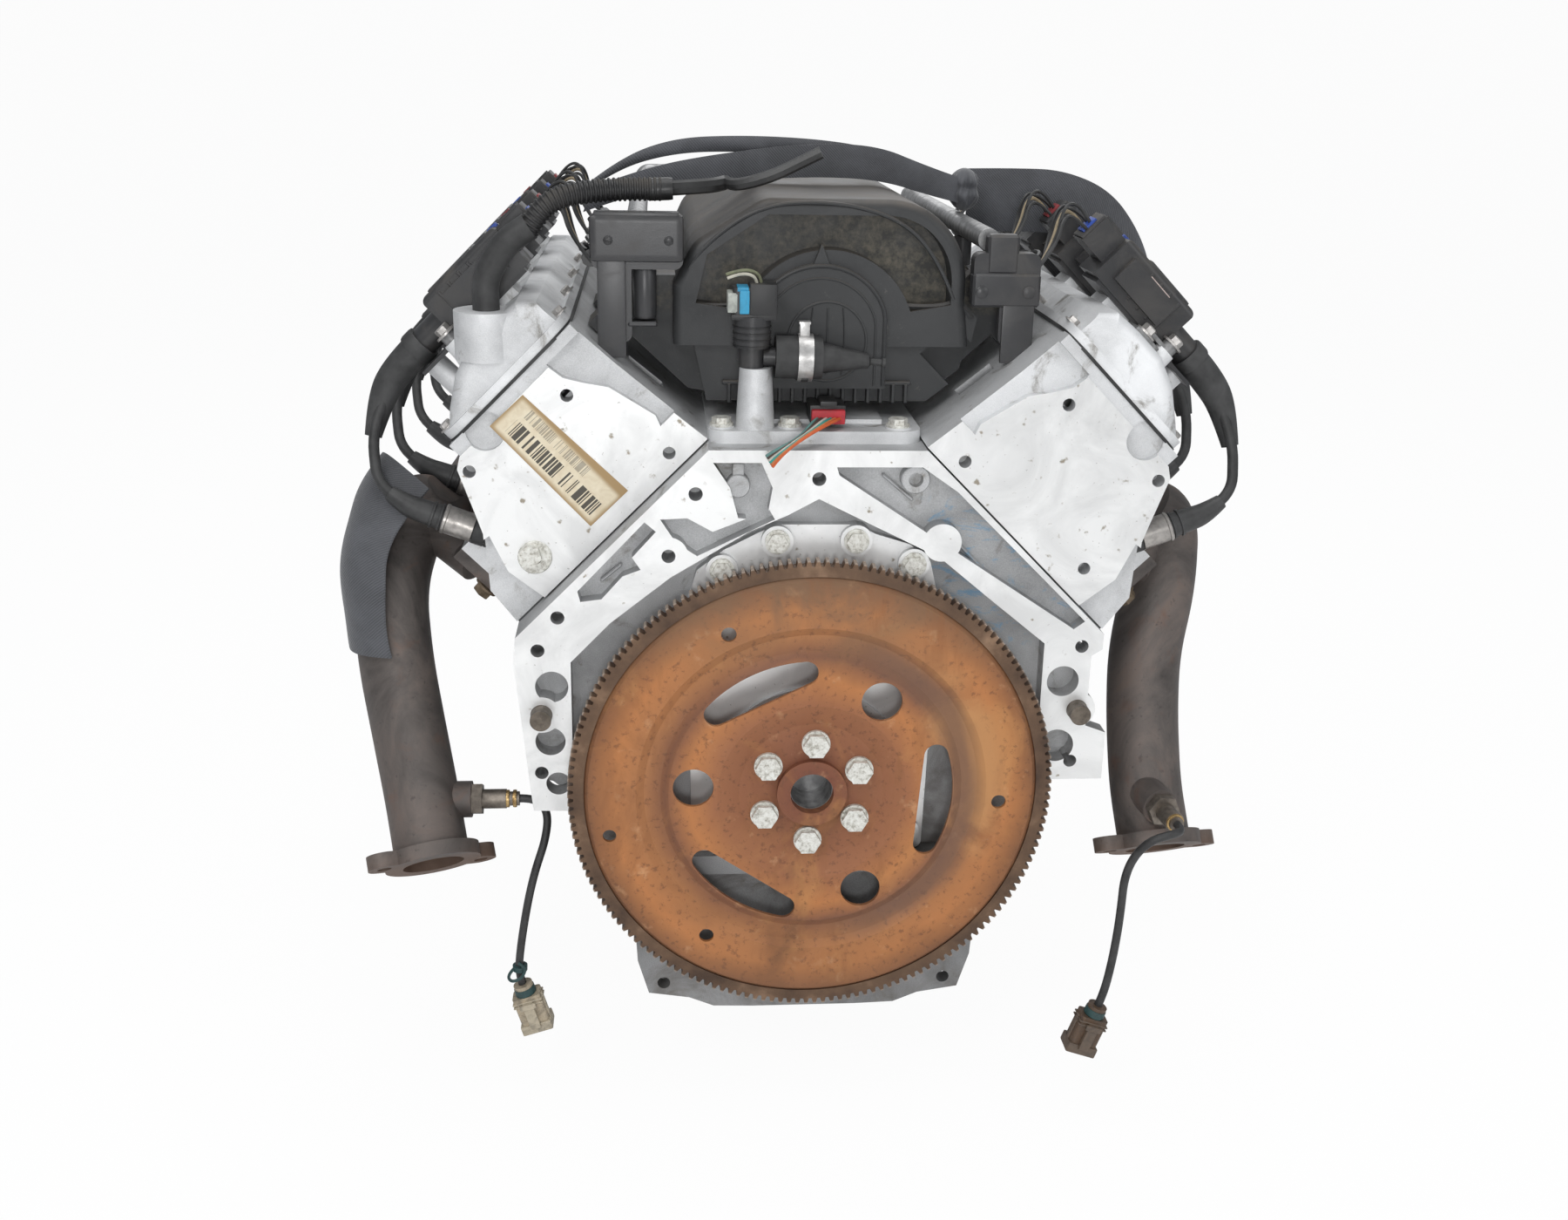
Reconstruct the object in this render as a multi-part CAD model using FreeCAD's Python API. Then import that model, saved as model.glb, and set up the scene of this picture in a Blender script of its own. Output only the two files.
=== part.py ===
"""A complete overhead-valve V8 engine with its flexplate, seen and held from the rear.

Millimetres. X is across the engine, +Y runs from the bellhousing face to the front, +Z is up.
The origin is where the crankshaft's axis meets the bellhousing face.
"""
import FreeCAD, Part
import math
import os

V = FreeCAD.Vector
LEFT = -1
RIGHT = 1

# Block
bore = 96.0
stroke = 92.0
bore_pitch = 111.76
bank_offset = 24.0
bank_angle = 45.0
deck_height = 234.7
rear_main_y = 28.0
cylinder_count = 4
main_count = 5
block_front = 502.0
deck_outboard = 69.6
valley_deck = 254.9
skirt_half = 118.0
pan_rail_half = 135.0
pan_rail_z = -60.0
pan_rail_height = 12.0
bell_depth = 16.0
pocket_depth = 13.0
bank_end_margin = 69.0
crankcase_radius = 88.0
bulkhead_width = 26.0
cam_height = 124.8
cam_bore_radius = 27.6
lifter_radius = 10.7
lifter_clearance = 0.05
lifter_pair_half = 17.0
lifter_length = 60.0

# Crankshaft, rods' journals and pistons
main_radius = 32.5
pin_radius = 26.65
web_thickness = 15.0
web_radius = 76.0
crank_phase = 45.0
throw_angles = (0.0, 90.0, 270.0, 180.0)
bearing_clearance = 0.05
piston_clearance = 0.35
piston_top = 33.8
rod_length = deck_height - stroke / 2 - piston_top
piston_skirt = 22.0
crank_flange_radius = 46.0
pilot_radius = 15.5
pilot_depth = 30.0

# Flexplate and ring gear
flexplate_y = -17.0
flexplate_thickness = 3.0
hub_recess = 5.0
hub_radius = 62.0
groove_inner = 106.0
groove_outer = 130.0
groove_depth = 3.5
crank_bolt_circle = 39.0
crank_bolt_count = 6
crank_bolt_start = 86.7
crank_bolt_radius = 5.5
crank_bolt_reach = 15.0
converter_circle = 140.5
converter_hole_radius = 5.5
converter_start = 116.5
window_count = 3
round_window_circle = 88.0
round_window_radius = 15.0
round_window_start = 56.0
moon_inner = 80.0
moon_outer = 105.0
moon_corner = 9.0
moon_start = 116.0
hub_bore_radius = 16.0
hub_collar_radius = 26.0
hub_collar_height = 5.0
gear_teeth = 168
gear_tip_radius = 179.9
gear_root_radius = 175.6
gear_inner_radius = 168.0
gear_width = 9.5

# Heads and valve covers, in the bank's own frame: x outboard, z up the bores
gasket_thickness = 1.3
head_low = deck_height + gasket_thickness
head_length = 474.0
rail_rise = 114.0
rail_depth = 10.0
rail_bottom = head_low + rail_rise
rail_top = rail_bottom + rail_depth
rail_inboard = -116.0
rail_outboard = 6.0
cover_height = 38.0
cover_top = rail_top + cover_height
cover_inset = 6.0
port_rise = 43.0
port_height = head_low + port_rise
port_half = 19.0
port_radius = 15.0
port_face = 68.0
plug_seat_x = 44.0
plug_seat_rise = 55.0
plug_seat_z = head_low + plug_seat_rise
plug_lean_x = 0.42
plug_lean_z = 0.9075
plug_radius = 8.5
plug_shift = -28.0
guide_clearance = 0.05
valve_stem_radius = 4.0
valve_x = -8.0
valve_pair_half = 19.0
valve_lean_x = -0.24
valve_lean_z = 0.97
valve_length = 119.0
chamber_depth = 13.0
chamber_radius = 44.0
spring_seat_rise = 90.0
spring_seat = head_low + spring_seat_rise
pushrod_radius = 4.0
pushrod_rise = 130.0
pushrod_top = head_low + pushrod_rise
rocker_drop = 6.3
rocker_low = pushrod_top - rocker_drop
head_step = 8.0

# Rear cover, valley cover, pan and front pieces
cover_plate_y = 8.0
cover_plate_thickness = 8.0
cover_boss_height = 5.0
cover_boss_radius = 11.5
cover_bolt_places = ((-67.0, 166.4), (-27.6, 187.8), (29.1, 188.3), (71.4, 170.5))
seal_radius = 60.0
seal_clearance = 0.3
seal_depth = 11.0
pan_bottom = -190.0
pan_shallow = -125.0
pan_sump_length = 330.0
front_cover_depth = 32.0
balancer_radius = 95.0
balancer_width = 62.0
pulley_radius = 70.0

# Intake, fuel and ignition
rail_x = 128.0
rail_z = 392.0
rail_radius = 8.0
rail_rear = 82.0
rail_overhang = 20.0
rail_bridge_rise = 21.0
rail_bridge_radius = 4.5
injector_radius = 7.0
injector_length = 22.0
throttle_radius = 39.0
throttle_wall = 5.0
throttle_length = 60.0
throttle_collar = 14.0
throttle_collar_radius = 43.0
throttle_height = 352.0
coil_length = 104.0
neck_x = -54.0
neck_rise = 22.0
neck_z = rail_top + neck_rise
neck_length = 34.0
elbow_radius = 9.5
coil_width = 44.0
coil_height = 40.0
coil_inboard = -140.0
coil_shift = 18.0
coil_socket_x = -44.0
coil_socket_length = 36.0
coil_socket_rise = 14.0
plug_boot_end = 48.0
coil_pad_height = 8.0
coil_base = cover_top + coil_pad_height
plug_wire_radius = 4.0

# Exhaust
pipe_radius = 28.0
flange_thickness = 11.0
outlet_radius = 23.0
outlet_depth = 40.0
sensor_cord_radius = 3.2
strap_thickness = 2.4
strap_width = 48.0

throw = stroke / 2
sine = math.sin(math.radians(bank_angle))
cosine = math.cos(math.radians(bank_angle))
cam_lobe_radius = 22.4
cam_lobe_lift = 4.0
lifter_gap = 0.65
lifter_low = cam_height * cosine + cam_lobe_radius + cam_lobe_lift + lifter_gap
pushrod_x = -cam_height * sine


def prism(points, y_low, y_high):
    """A straight solid with its outline in X and Z, from one Y to another."""
    corners = [V(x, y_low, z) for x, z in points]
    face = Part.Face(Part.makePolygon(corners + corners[:1]))
    return face.extrude(V(0, y_high - y_low, 0))


def mirrored(points):
    """A right half outline, from top to bottom, closed by its mirror image."""
    return list(points) + [(-x, z) for x, z in reversed(points)]


def box(x_low, x_high, y_low, y_high, z_low, z_high):
    return Part.makeBox(x_high - x_low, y_high - y_low, z_high - z_low, V(x_low, y_low, z_low))


def rod(start, along, radius, length):
    return Part.makeCylinder(radius, length, V(*start), V(*along))


def rod_y(x, y_low, y_high, z, radius):
    return Part.makeCylinder(radius, y_high - y_low, V(x, y_low, z), V(0, 1, 0))


def fuse(shapes):
    shapes = list(shapes)
    if len(shapes) == 1:
        return shapes[0]
    return shapes[0].multiFuse(shapes[1:]).removeSplitter()


def cut(shape, tools):
    tools = list(tools)
    return shape.cut(tools) if tools else shape


def polar(radius, degrees):
    angle = math.radians(degrees)
    return radius * math.cos(angle), radius * math.sin(angle)


def rounded(shape, radius, test):
    """Rounds the edges for which the test says yes."""
    edges = [edge for edge in shape.Edges if test(edge)]
    return shape.makeFillet(radius, edges) if edges else shape


def along_y(edge):
    if not isinstance(edge.Curve, Part.Line):
        return False
    return abs(abs(edge.Curve.Direction.y) - 1) < 1e-6


def hexagon(start, along, across_flats, height):
    """A hexagonal bolt head or nut, standing on a point."""
    radius = across_flats / math.sqrt(3)
    corners = [V(radius * math.cos(i * math.pi / 3), radius * math.sin(i * math.pi / 3), 0) for i in range(7)]
    solid = Part.Face(Part.makePolygon(corners)).extrude(V(0, 0, height))
    solid.Placement = FreeCAD.Placement(V(*start), FreeCAD.Rotation(V(0, 0, 1), V(*along)))
    return solid


def bolt(start, along, across_flats, height, washer=0.0):
    head = hexagon(start, along, across_flats, height)
    if not washer:
        return head
    return fuse([head, rod(start, along, washer, height / 3)])


def bank(shape, side):
    """Places a shape drawn in the bank's frame on the right bank, or its mirror image on the left."""
    placed = shape.copy()
    placed.rotate(V(0, 0, 0), V(0, 1, 0), bank_angle)
    if side == LEFT:
        placed = placed.mirror(V(0, 0, 0), V(1, 0, 0))
        placed.translate(V(0, bank_offset, 0))
    return placed


def bank_point(x, y, z, side):
    """A point of the bank's frame, in the engine's frame."""
    across = side * (x * cosine + z * sine)
    shift = bank_offset if side == LEFT else 0.0
    return across, y + shift, z * cosine - x * sine


def cylinder_y(index):
    """The rear cylinder of the right bank is index 0, in the right bank's frame."""
    return rear_main_y + bore_pitch / 2 - bank_offset / 2 + index * bore_pitch


def main_y(index):
    return rear_main_y + index * bore_pitch


straight_enough = 1e-3


def run_path(points, bend_share=0.45):
    """Straight runs joined by tangent arcs, as one wire."""
    corners = [V(*point) for point in points]
    edges = []
    start = corners[0]
    for before, corner, after in zip(corners, corners[1:], corners[2:]):
        back = (before - corner).normalize()
        ahead = (after - corner).normalize()
        reach = bend_share * min((before - corner).Length, (after - corner).Length)
        first = corner + back * reach
        last = corner + ahead * reach
        half_turn = (math.pi - back.getAngle(ahead)) / 2
        if half_turn < straight_enough:
            continue
        radius = reach / math.tan(half_turn)
        bisector = (back + ahead).normalize()
        centre = corner + bisector * (radius / math.cos(half_turn))
        middle = centre - bisector * radius
        edges.append(Part.LineSegment(start, first).toShape())
        edges.append(Part.Arc(first, middle, last).toShape())
        start = last
    edges.append(Part.LineSegment(start, corners[-1]).toShape())
    return Part.Wire(edges)


def tube(points, radius):
    """A round solid that follows a path of runs and arcs."""
    path = run_path(points)
    start = V(*points[0])
    ahead = V(*points[1]) - start
    disc = Part.Face(Part.Wire(Part.makeCircle(radius, start, ahead)))
    return path.makePipe(disc)


def export(name, shapes):
    shapes = shapes if isinstance(shapes, list) else [shapes]
    solids = [solid for shape in shapes for solid in shape.Solids]
    shape = solids[0] if len(solids) == 1 else Part.makeCompound(solids)
    shape.exportStep("parts/" + name + ".step")


def block_outline():
    """The V section of the block, from the valley round the banks to the pan rail."""
    valley_edge = deck_height / cosine - valley_deck
    deck_low = ((deck_outboard + deck_height) * sine, (deck_height - deck_outboard) * cosine)
    skirt_top = skirt_half - (deck_low[0] - deck_low[1])
    return mirrored([(valley_edge, valley_deck), deck_low, (skirt_half, skirt_top),
                     (skirt_half, pan_rail_z + pan_rail_height), (pan_rail_half, pan_rail_z + pan_rail_height),
                     (pan_rail_half, pan_rail_z)])


def bell_outline():
    """The bellhousing face: the V section with a wing on each side, which differ as on the real casting."""
    deck_low = ((deck_outboard + deck_height) * sine, (deck_height - deck_outboard) * cosine)
    valley_edge = deck_height / cosine - valley_deck
    right_wing = [(valley_edge, valley_deck), deck_low, (215, 105), (207, 100), (207, 44), (223, 38), (223, 0),
                  (118, 0)]
    left_wing = [(-118, -22), (-206, -20), (-217, 98), (-216, 110), (-deck_low[0], deck_low[1]),
                 (-valley_edge, valley_deck)]
    return right_wing + left_wing


arch_inner = ((172, -70), (171, 102), (171, 110), (130, 143), (90, 176), (23, 209), (1, 220), (-21, 208), (-48, 196),
              (-104, 162), (-147, 128), (-176, 98), (-176, -70))
pocket_outlines = (
    ((-74, 246), (-40, 246), (-32, 228), (-36, 204), (-56, 206), (-62, 228)),
    ((-111, 205), (-92, 206), (-74, 196), (-34, 212), (-30, 205), (-85, 178), (-100, 188)),
    ((-170, 152), (-122, 203), (-114, 196), (-131, 177), (-125, 168), (-138, 163), (-153, 146), (-168, 144)),
    ((13, 243), (74, 243), (100, 225), (200, 127), (192, 121), (15, 237)),
)
scallop_places = ((187, 80, 12), (186, 28, 13), (-190, 79, 12), (-192, 36, 11), (-187, 2, 9))
bell_hole_places = ((0.7, 234.4), (-86.1, 223.5), (-105.2, 177.9), (-184.6, 132.1), (-199.4, 107.1), (-199.1, 10.8),
                    (199.2, 107.4), (197.5, 15.1))
dowel_places = ((-198.0, 57.0), (199.5, 57.0))
bell_hole_radius = 5.0
bell_hole_depth = 24.0
dowel_radius = 8.0
dowel_nose_radius = 7.7
dowel_reach = 12.0
boss_radius = 14.0


def bell_flange():
    """The rear flange: a machined rim round cast pockets, with a boss at each bolt."""
    plate = prism(bell_outline(), 0, bell_depth)
    inner = [prism(arch_inner, 0, bell_depth)]
    inner += [rod_y(x, 0, bell_depth, z, r) for x, z, r in scallop_places]
    pockets = [prism(outline, 0, pocket_depth) for outline in pocket_outlines]
    plate = cut(plate, inner + pockets)
    bosses = [rod_y(x, 0, bell_depth, z, boss_radius) for x, z in bell_hole_places[:3] + dowel_places]
    bosses.append(rod_y(90.7, 0, bell_depth, 187.4, boss_radius))
    return fuse([plate] + bosses)


def engine_block():
    body = prism(block_outline(), bell_depth, block_front)
    flange = bell_flange()
    wall = prism(mirrored([(23, 222), (207, 100), (207, 0), (118, -20)]), bell_depth, bell_depth + 12)
    block = fuse([body, flange, wall])
    tools = []
    for side in (LEFT, RIGHT):
        for index in range(cylinder_count):
            y = cylinder_y(index)
            tools.append(bank(rod((0, y, 50), (0, 0, 1), bore / 2, deck_height), side))
            for shift in (-lifter_pair_half, lifter_pair_half):
                lifter_x = -cam_height * sine
                lifter_z = cam_height * cosine
                tools.append(bank(rod((lifter_x, y + shift, lifter_z), (0, 0, 1),
                                      lifter_radius + lifter_clearance, deck_height), side))
    for index in range(cylinder_count):
        low = main_y(index) + bulkhead_width / 2
        high = main_y(index + 1) - bulkhead_width / 2
        tools.append(rod_y(0, low, high, 0, crankcase_radius))
        tools.append(box(-crankcase_radius, crankcase_radius, low, high, pan_rail_z, 0))
    cap_half = 62.0
    tools.append(box(-cap_half, cap_half, bell_depth, block_front, pan_rail_z, 0))
    tools.append(rod_y(0, 0, block_front, 0, main_radius + bearing_clearance))
    tools.append(rod_y(0, 0, main_y(0) - bulkhead_width / 2, 0, crank_flange_radius + 4))
    tools.append(rod_y(0, bell_depth, block_front, cam_height, cam_bore_radius))
    valley = [(40, valley_deck), (20, 180), (-20, 180), (-40, valley_deck)]
    tools.append(prism(valley, 46, block_front - 40))
    tools += [rod_y(x, 0, bell_hole_depth, z, bell_hole_radius) for x, z in bell_hole_places]
    tools += [rod_y(x, 0, bell_hole_depth, z, dowel_radius) for x, z in dowel_places]
    return cut(block, tools)


def main_bearing_caps():
    caps = []
    for index in range(main_count):
        y = main_y(index)
        half = bulkhead_width / 2 - 1
        cap = prism([(-61, 0), (61, 0), (61, -30), (44, -58), (-44, -58), (-61, -30)], y - half, y + half)
        caps.append(cut(cap, [rod_y(0, y - half, y + half, 0, main_radius + bearing_clearance)]))
    return caps


def pin_angle(index):
    return crank_phase + throw_angles[index]


def pin_centre(index):
    x, z = polar(throw, 90.0 - pin_angle(index))
    return x, main_y(index) + bore_pitch / 2, z


def crankshaft():
    pieces = [rod_y(0, main_y(i) - bulkhead_width / 2, main_y(i) + bulkhead_width / 2, 0, main_radius)
              for i in range(main_count)]
    flange_front = main_y(0) - bulkhead_width / 2
    flange_rear = flexplate_y + hub_recess
    pieces.append(rod_y(0, flange_rear, flange_front, 0, crank_flange_radius))
    pieces.append(rod_y(0, main_y(main_count - 1), block_front + front_cover_depth + 8, 0, 22.0))
    for index in range(main_count - 1):
        x, y, z = pin_centre(index)
        low = main_y(index) + bulkhead_width / 2
        high = main_y(index + 1) - bulkhead_width / 2
        pieces.append(rod_y(x, low, high, z, pin_radius))
        opposite = 90.0 - pin_angle(index) + 180.0
        for start in (low, high - web_thickness):
            disc = rod_y(0, start, start + web_thickness, 0, web_radius)
            reach = 2 * web_radius
            trim = box(-reach, reach, start, start + web_thickness, 0, reach)
            trim.rotate(V(0, 0, 0), V(0, 1, 0), -(opposite + 90.0))
            lobe = cut(disc, [trim])
            cheek = rod_y(x, start, start + web_thickness, z, pin_radius + 6)
            neck = box(-pin_radius - 6, pin_radius + 6, start, start + web_thickness, 0, throw)
            neck.rotate(V(0, 0, 0), V(0, 1, 0), pin_angle(index))
            pieces += [lobe, cheek, neck]
    shaft = fuse(pieces)
    tools = [rod_y(0, flange_rear, flange_rear + pilot_depth, 0, pilot_radius)]
    for x, z in crank_bolt_places():
        tools.append(rod_y(x, flange_rear, flange_rear + crank_bolt_reach, z, crank_bolt_radius))
    return cut(shaft, tools)


def crank_bolt_places():
    return [polar(crank_bolt_circle, crank_bolt_start + index * 360.0 / crank_bolt_count)
            for index in range(crank_bolt_count)]


def window_arc(start):
    """A half-moon window of the flexplate, between two arcs."""
    outer = rod_y(0, flexplate_y - 20, 20, 0, moon_outer)
    reach = moon_outer + 20
    chord_x, chord_z = polar(moon_inner, start)
    half_space = box(0, reach, flexplate_y - 20, 20, -reach, reach)
    half_space.rotate(V(0, 0, 0), V(0, 1, 0), -start)
    half_space.translate(V(chord_x, 0, chord_z))
    return rounded(outer.common(half_space), moon_corner, along_y)


def flexplate():
    """A pressed disc: a hub on the crank, a ring groove for stiffness, windows and converter holes."""
    rim = gear_inner_radius
    y_rim = flexplate_y
    y_hub = flexplate_y + hub_recess
    outline = [(hub_bore_radius, y_hub), (hub_radius - 8, y_hub), (hub_radius + 8, y_rim), (groove_inner, y_rim),
               (groove_inner + 6, y_rim + groove_depth), (groove_outer - 6, y_rim + groove_depth),
               (groove_outer, y_rim), (rim - 5, y_rim), (rim - 1.5, y_rim + 1.5), (rim - 1.5, y_rim + 9),
               (rim, y_rim + 9), (rim, y_rim), (rim - 3, y_rim - flexplate_thickness),
               (groove_outer, y_rim - flexplate_thickness), (groove_outer - 6, y_rim + groove_depth - flexplate_thickness),
               (groove_inner + 6, y_rim + groove_depth - flexplate_thickness), (groove_inner, y_rim - flexplate_thickness),
               (hub_radius + 8, y_rim - flexplate_thickness), (hub_radius - 8, y_hub - flexplate_thickness),
               (hub_bore_radius, y_hub - flexplate_thickness)]
    corners = [V(r, y, 0) for r, y in outline]
    disc = Part.Face(Part.makePolygon(corners + corners[:1])).revolve(V(0, 0, 0), V(0, 1, 0), 360)
    tools = []
    for index in range(window_count):
        turn = index * 360.0 / window_count
        x, z = polar(converter_circle, converter_start + turn)
        tools.append(rod_y(x, flexplate_y - 20, 20, z, converter_hole_radius))
        x, z = polar(round_window_circle, round_window_start + turn)
        tools.append(rod_y(x, flexplate_y - 20, 20, z, round_window_radius))
        tools.append(window_arc(moon_start + turn))
    for x, z in crank_bolt_places():
        tools.append(rod_y(x, flexplate_y - 20, 20, z, crank_bolt_radius))
    x, z = polar(152.8, 192.0)
    tools.append(rod_y(x, flexplate_y - 20, 20, z, 5.0))
    return cut(disc, tools)


def flexplate_hub():
    """The collar that centres the converter, pressed against the plate's hub."""
    y_face = flexplate_y + hub_recess - flexplate_thickness
    collar = rod_y(0, y_face - hub_collar_height, y_face, 0, hub_collar_radius)
    return cut(collar, [rod_y(0, y_face - hub_collar_height, y_face, 0, hub_bore_radius)])


def ring_gear():
    """Straight teeth round a band, each with sloping flanks."""
    pitch = 360.0 / gear_teeth
    low = flexplate_y - 1.5
    points = []
    for index in range(gear_teeth):
        middle = index * pitch
        for radius, shift in ((gear_root_radius, -0.34), (gear_tip_radius, -0.16), (gear_tip_radius, 0.16),
                              (gear_root_radius, 0.34)):
            points.append(polar(radius, middle + shift * pitch))
    band = prism(points, low, low + gear_width)
    return cut(band, [rod_y(0, low, low + gear_width, 0, gear_inner_radius)])


def flexplate_bolts():
    bolts = []
    face = flexplate_y + hub_recess - flexplate_thickness
    for x, z in crank_bolt_places():
        head = bolt((x, face, z), (0, -1, 0), 17.0, 8.0, 10.5)
        shank = rod_y(x, face, face + flexplate_thickness + crank_bolt_reach - 1, z, crank_bolt_radius - 0.1)
        bolts.append(fuse([head, shank]))
    return bolts


def piston(side, index):
    """One piston with its pin, at its place for the crankshaft's rest angle."""
    y = cylinder_y(index)
    angle = math.radians(pin_angle(index) - side * bank_angle)
    height = throw * math.cos(angle) + math.sqrt(rod_length ** 2 - (throw * math.sin(angle)) ** 2)
    radius = bore / 2 - piston_clearance
    crown = rod((0, y, height - piston_skirt), (0, 0, 1), radius, piston_top + piston_skirt)
    inside = rod((0, y, height - piston_skirt), (0, 0, 1), radius - 6, piston_skirt + piston_top - 9)
    boss = box(-radius + 12, radius - 12, y - 40, y + 40, height - 14, height + 25).common(crown)
    gap = box(-radius, radius, y - 14, y + 14, height - piston_skirt, height + 20)
    side_cuts = [box(-radius, radius, y + s * 46 - 6, y + s * 46 + 6, height - piston_skirt, height + 8)
                 for s in (-1, 1)]
    rings = []
    for ring_z in (height + 26, height + 20, height + 14):
        ring = rod((0, y, ring_z), (0, 0, 1), radius + 1, 1.8)
        rings.append(cut(ring, [rod((0, y, ring_z), (0, 0, 1), radius - 3, 1.8)]))
    shell = fuse([cut(crown, [inside]), boss])
    shell = cut(shell, [gap] + rings)
    return bank(shell, side)


def camshaft():
    rear = bell_depth + 22
    pieces = [rod_y(0, rear, block_front + 6, cam_height, 20.0)]
    for index in range(main_count):
        y = main_y(index)
        pieces.append(rod_y(0, max(y - 11, rear), min(y + 11, block_front), cam_height, cam_bore_radius - 0.06))
    for side in (LEFT, RIGHT):
        shift = bank_offset if side == LEFT else 0.0
        for index in range(cylinder_count):
            for number, offset in enumerate((-lifter_pair_half, lifter_pair_half)):
                y = cylinder_y(index) + shift + offset
                x, z = polar(cam_lobe_lift, 45.0 * (index * 2 + number) + 90.0 * side)
                pieces.append(rod_y(x, y - 7, y + 7, cam_height + z, cam_lobe_radius))
    return fuse(pieces)


def toothed_wheel(y_low, y_high, z_centre, teeth, tip, root):
    points = []
    pitch = 360.0 / teeth
    for index in range(teeth):
        for radius, shift in ((root, -0.3), (tip, -0.12), (tip, 0.12), (root, 0.3)):
            x, z = polar(radius, (index + shift) * pitch)
            points.append((x, z + z_centre))
    return prism(points, y_low, y_high)


timing_y = 8.0
timing_width = 7.0
cam_sprocket_radius = 60.0
crank_sprocket_radius = 30.0
chain_thickness = 5.5


def crank_sprocket():
    low = block_front + timing_y
    wheel = toothed_wheel(low, low + timing_width, 0, 20, crank_sprocket_radius, crank_sprocket_radius - 5)
    return cut(wheel, [rod_y(0, low, low + timing_width, 0, 22.05)])


def cam_sprocket():
    low = block_front + timing_y
    wheel = toothed_wheel(low, low + timing_width, cam_height, 40, cam_sprocket_radius, cam_sprocket_radius - 5)
    hub = rod_y(0, block_front + 6, low, cam_height, 24.0)
    holes = []
    for index in range(3):
        x, z = polar(40.0, 90 + 120 * index)
        holes.append(rod_y(x, low, low + timing_width, cam_height + z, 9.0))
    return cut(fuse([wheel, hub]), holes)


def timing_chain():
    """The chain's loop, running just outside the tips of both sprockets."""
    low = block_front + timing_y
    high = low + timing_width
    gap = 0.4

    def loop(extra):
        top = cam_sprocket_radius + gap + extra
        base = crank_sprocket_radius + gap + extra
        slope = math.asin((top - base) / cam_height)
        upper_x, upper_z = top * math.cos(slope), cam_height + top * math.sin(slope)
        lower_x, lower_z = base * math.cos(slope), base * math.sin(slope)
        straight = prism([(upper_x, upper_z), (lower_x, lower_z), (-lower_x, lower_z), (-upper_x, upper_z)], low, high)
        return fuse([straight, rod_y(0, low, high, cam_height, top), rod_y(0, low, high, 0, base)])

    return cut(loop(chain_thickness), [loop(0.0)])


def over_deck(points):
    """Points of the bank's section whose heights are measured from the head's lower face."""
    return [(x, head_low + rise) for x, rise in points]


def head_outline():
    """The rear end of a cylinder head, in the bank's frame."""
    return over_deck([(-127, 0), (-124, 26), (-118, 84), (rail_inboard, rail_rise), (rail_outboard, rail_rise),
                      (14, 109), (29, 78), (36, 64), (66, 30), (70, 0)])


def cylinder_head(side):
    low = cylinder_y(0) - bank_end_margin
    high = low + head_length
    head = prism(head_outline(), low, high)
    rail = box(rail_inboard, rail_outboard, low + 3, high - 3, rail_bottom, rail_top)
    recess = box(rail_inboard + 9, rail_outboard - 9, low + 12, high - 12, spring_seat, rail_top)
    ports = []
    pedestals = []
    tools = []
    for index in range(cylinder_count):
        y = cylinder_y(index)
        ports.append(box(20, port_face, y - 26, y + 22, port_height - port_half, port_height + port_half))
        tools.append(rod((0, y, deck_height), (0, 0, 1), chamber_radius, chamber_depth))
        tools.append(rod((port_face, y, port_height), (-1, 0, 0), port_radius, 34.0))
        tools.append(spark_plug_rod(y, -30, 0, plug_radius + guide_clearance))
        tools.append(spark_plug_rod(y, 0, 40, plug_radius + 3.5))
        tools.append(intake_port(y))
        for shift in (-lifter_pair_half, lifter_pair_half):
            tools.append(rod((pushrod_x, y + shift, deck_height), (0, 0, 1), pushrod_radius + 3, rail_top - deck_height))
            pedestals.append(box(-72, -60, y + shift - 8, y + shift + 8, spring_seat - 1, rocker_low))
        for shift in (-valve_pair_half, valve_pair_half):
            tools.append(valve_stem(y + shift, valve_stem_radius + guide_clearance))
    end_holes = over_deck([(-79, 91.5), (-100.5, 12), (9, 102), (21, 21)])
    tools += [rod_y(x, low, low + 18, z, 4.6) for x, z in end_holes]
    tools.append(rod_y(-20, low, low + 6, rail_bottom, 14.0))
    tools.append(prism(over_deck([(-132, 30), (-110, 30), (-113, 38), (-104, 75), (-94, 89), (-86, 102), (-84, 116),
                                  (-132, 116)]), low, low + head_step))
    tools.append(prism(over_deck([(40, 0), (44, 32), (34, 60), (60, 64), (90, 0)]), low, low + head_step))
    head = cut(fuse([head, rail] + ports), [recess])
    return bank(cut(fuse([head] + pedestals), tools), side)


def intake_port(y):
    """The passage from the plenum's floor through the runner base into the head, between the pushrods."""
    return box(-165, -60, y - 9, y + 9, head_low + 40, head_low + 72)


def intake_ports():
    return [bank(intake_port(cylinder_y(index)), side) for side in (LEFT, RIGHT) for index in range(cylinder_count)]


def spark_plug_rod(y, start, end, radius):
    """A round body on a plug's axis, measured outwards from its seat on the head's slope."""
    place = (plug_seat_x + plug_lean_x * start, y + plug_shift, plug_seat_z + plug_lean_z * start)
    return rod(place, (plug_lean_x, 0, plug_lean_z), radius, end - start)


def valve_stem(y, radius):
    place = (valve_x, y, deck_height + chamber_depth - 3)
    return rod(place, (valve_lean_x, 0, valve_lean_z), radius, valve_length)


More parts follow.
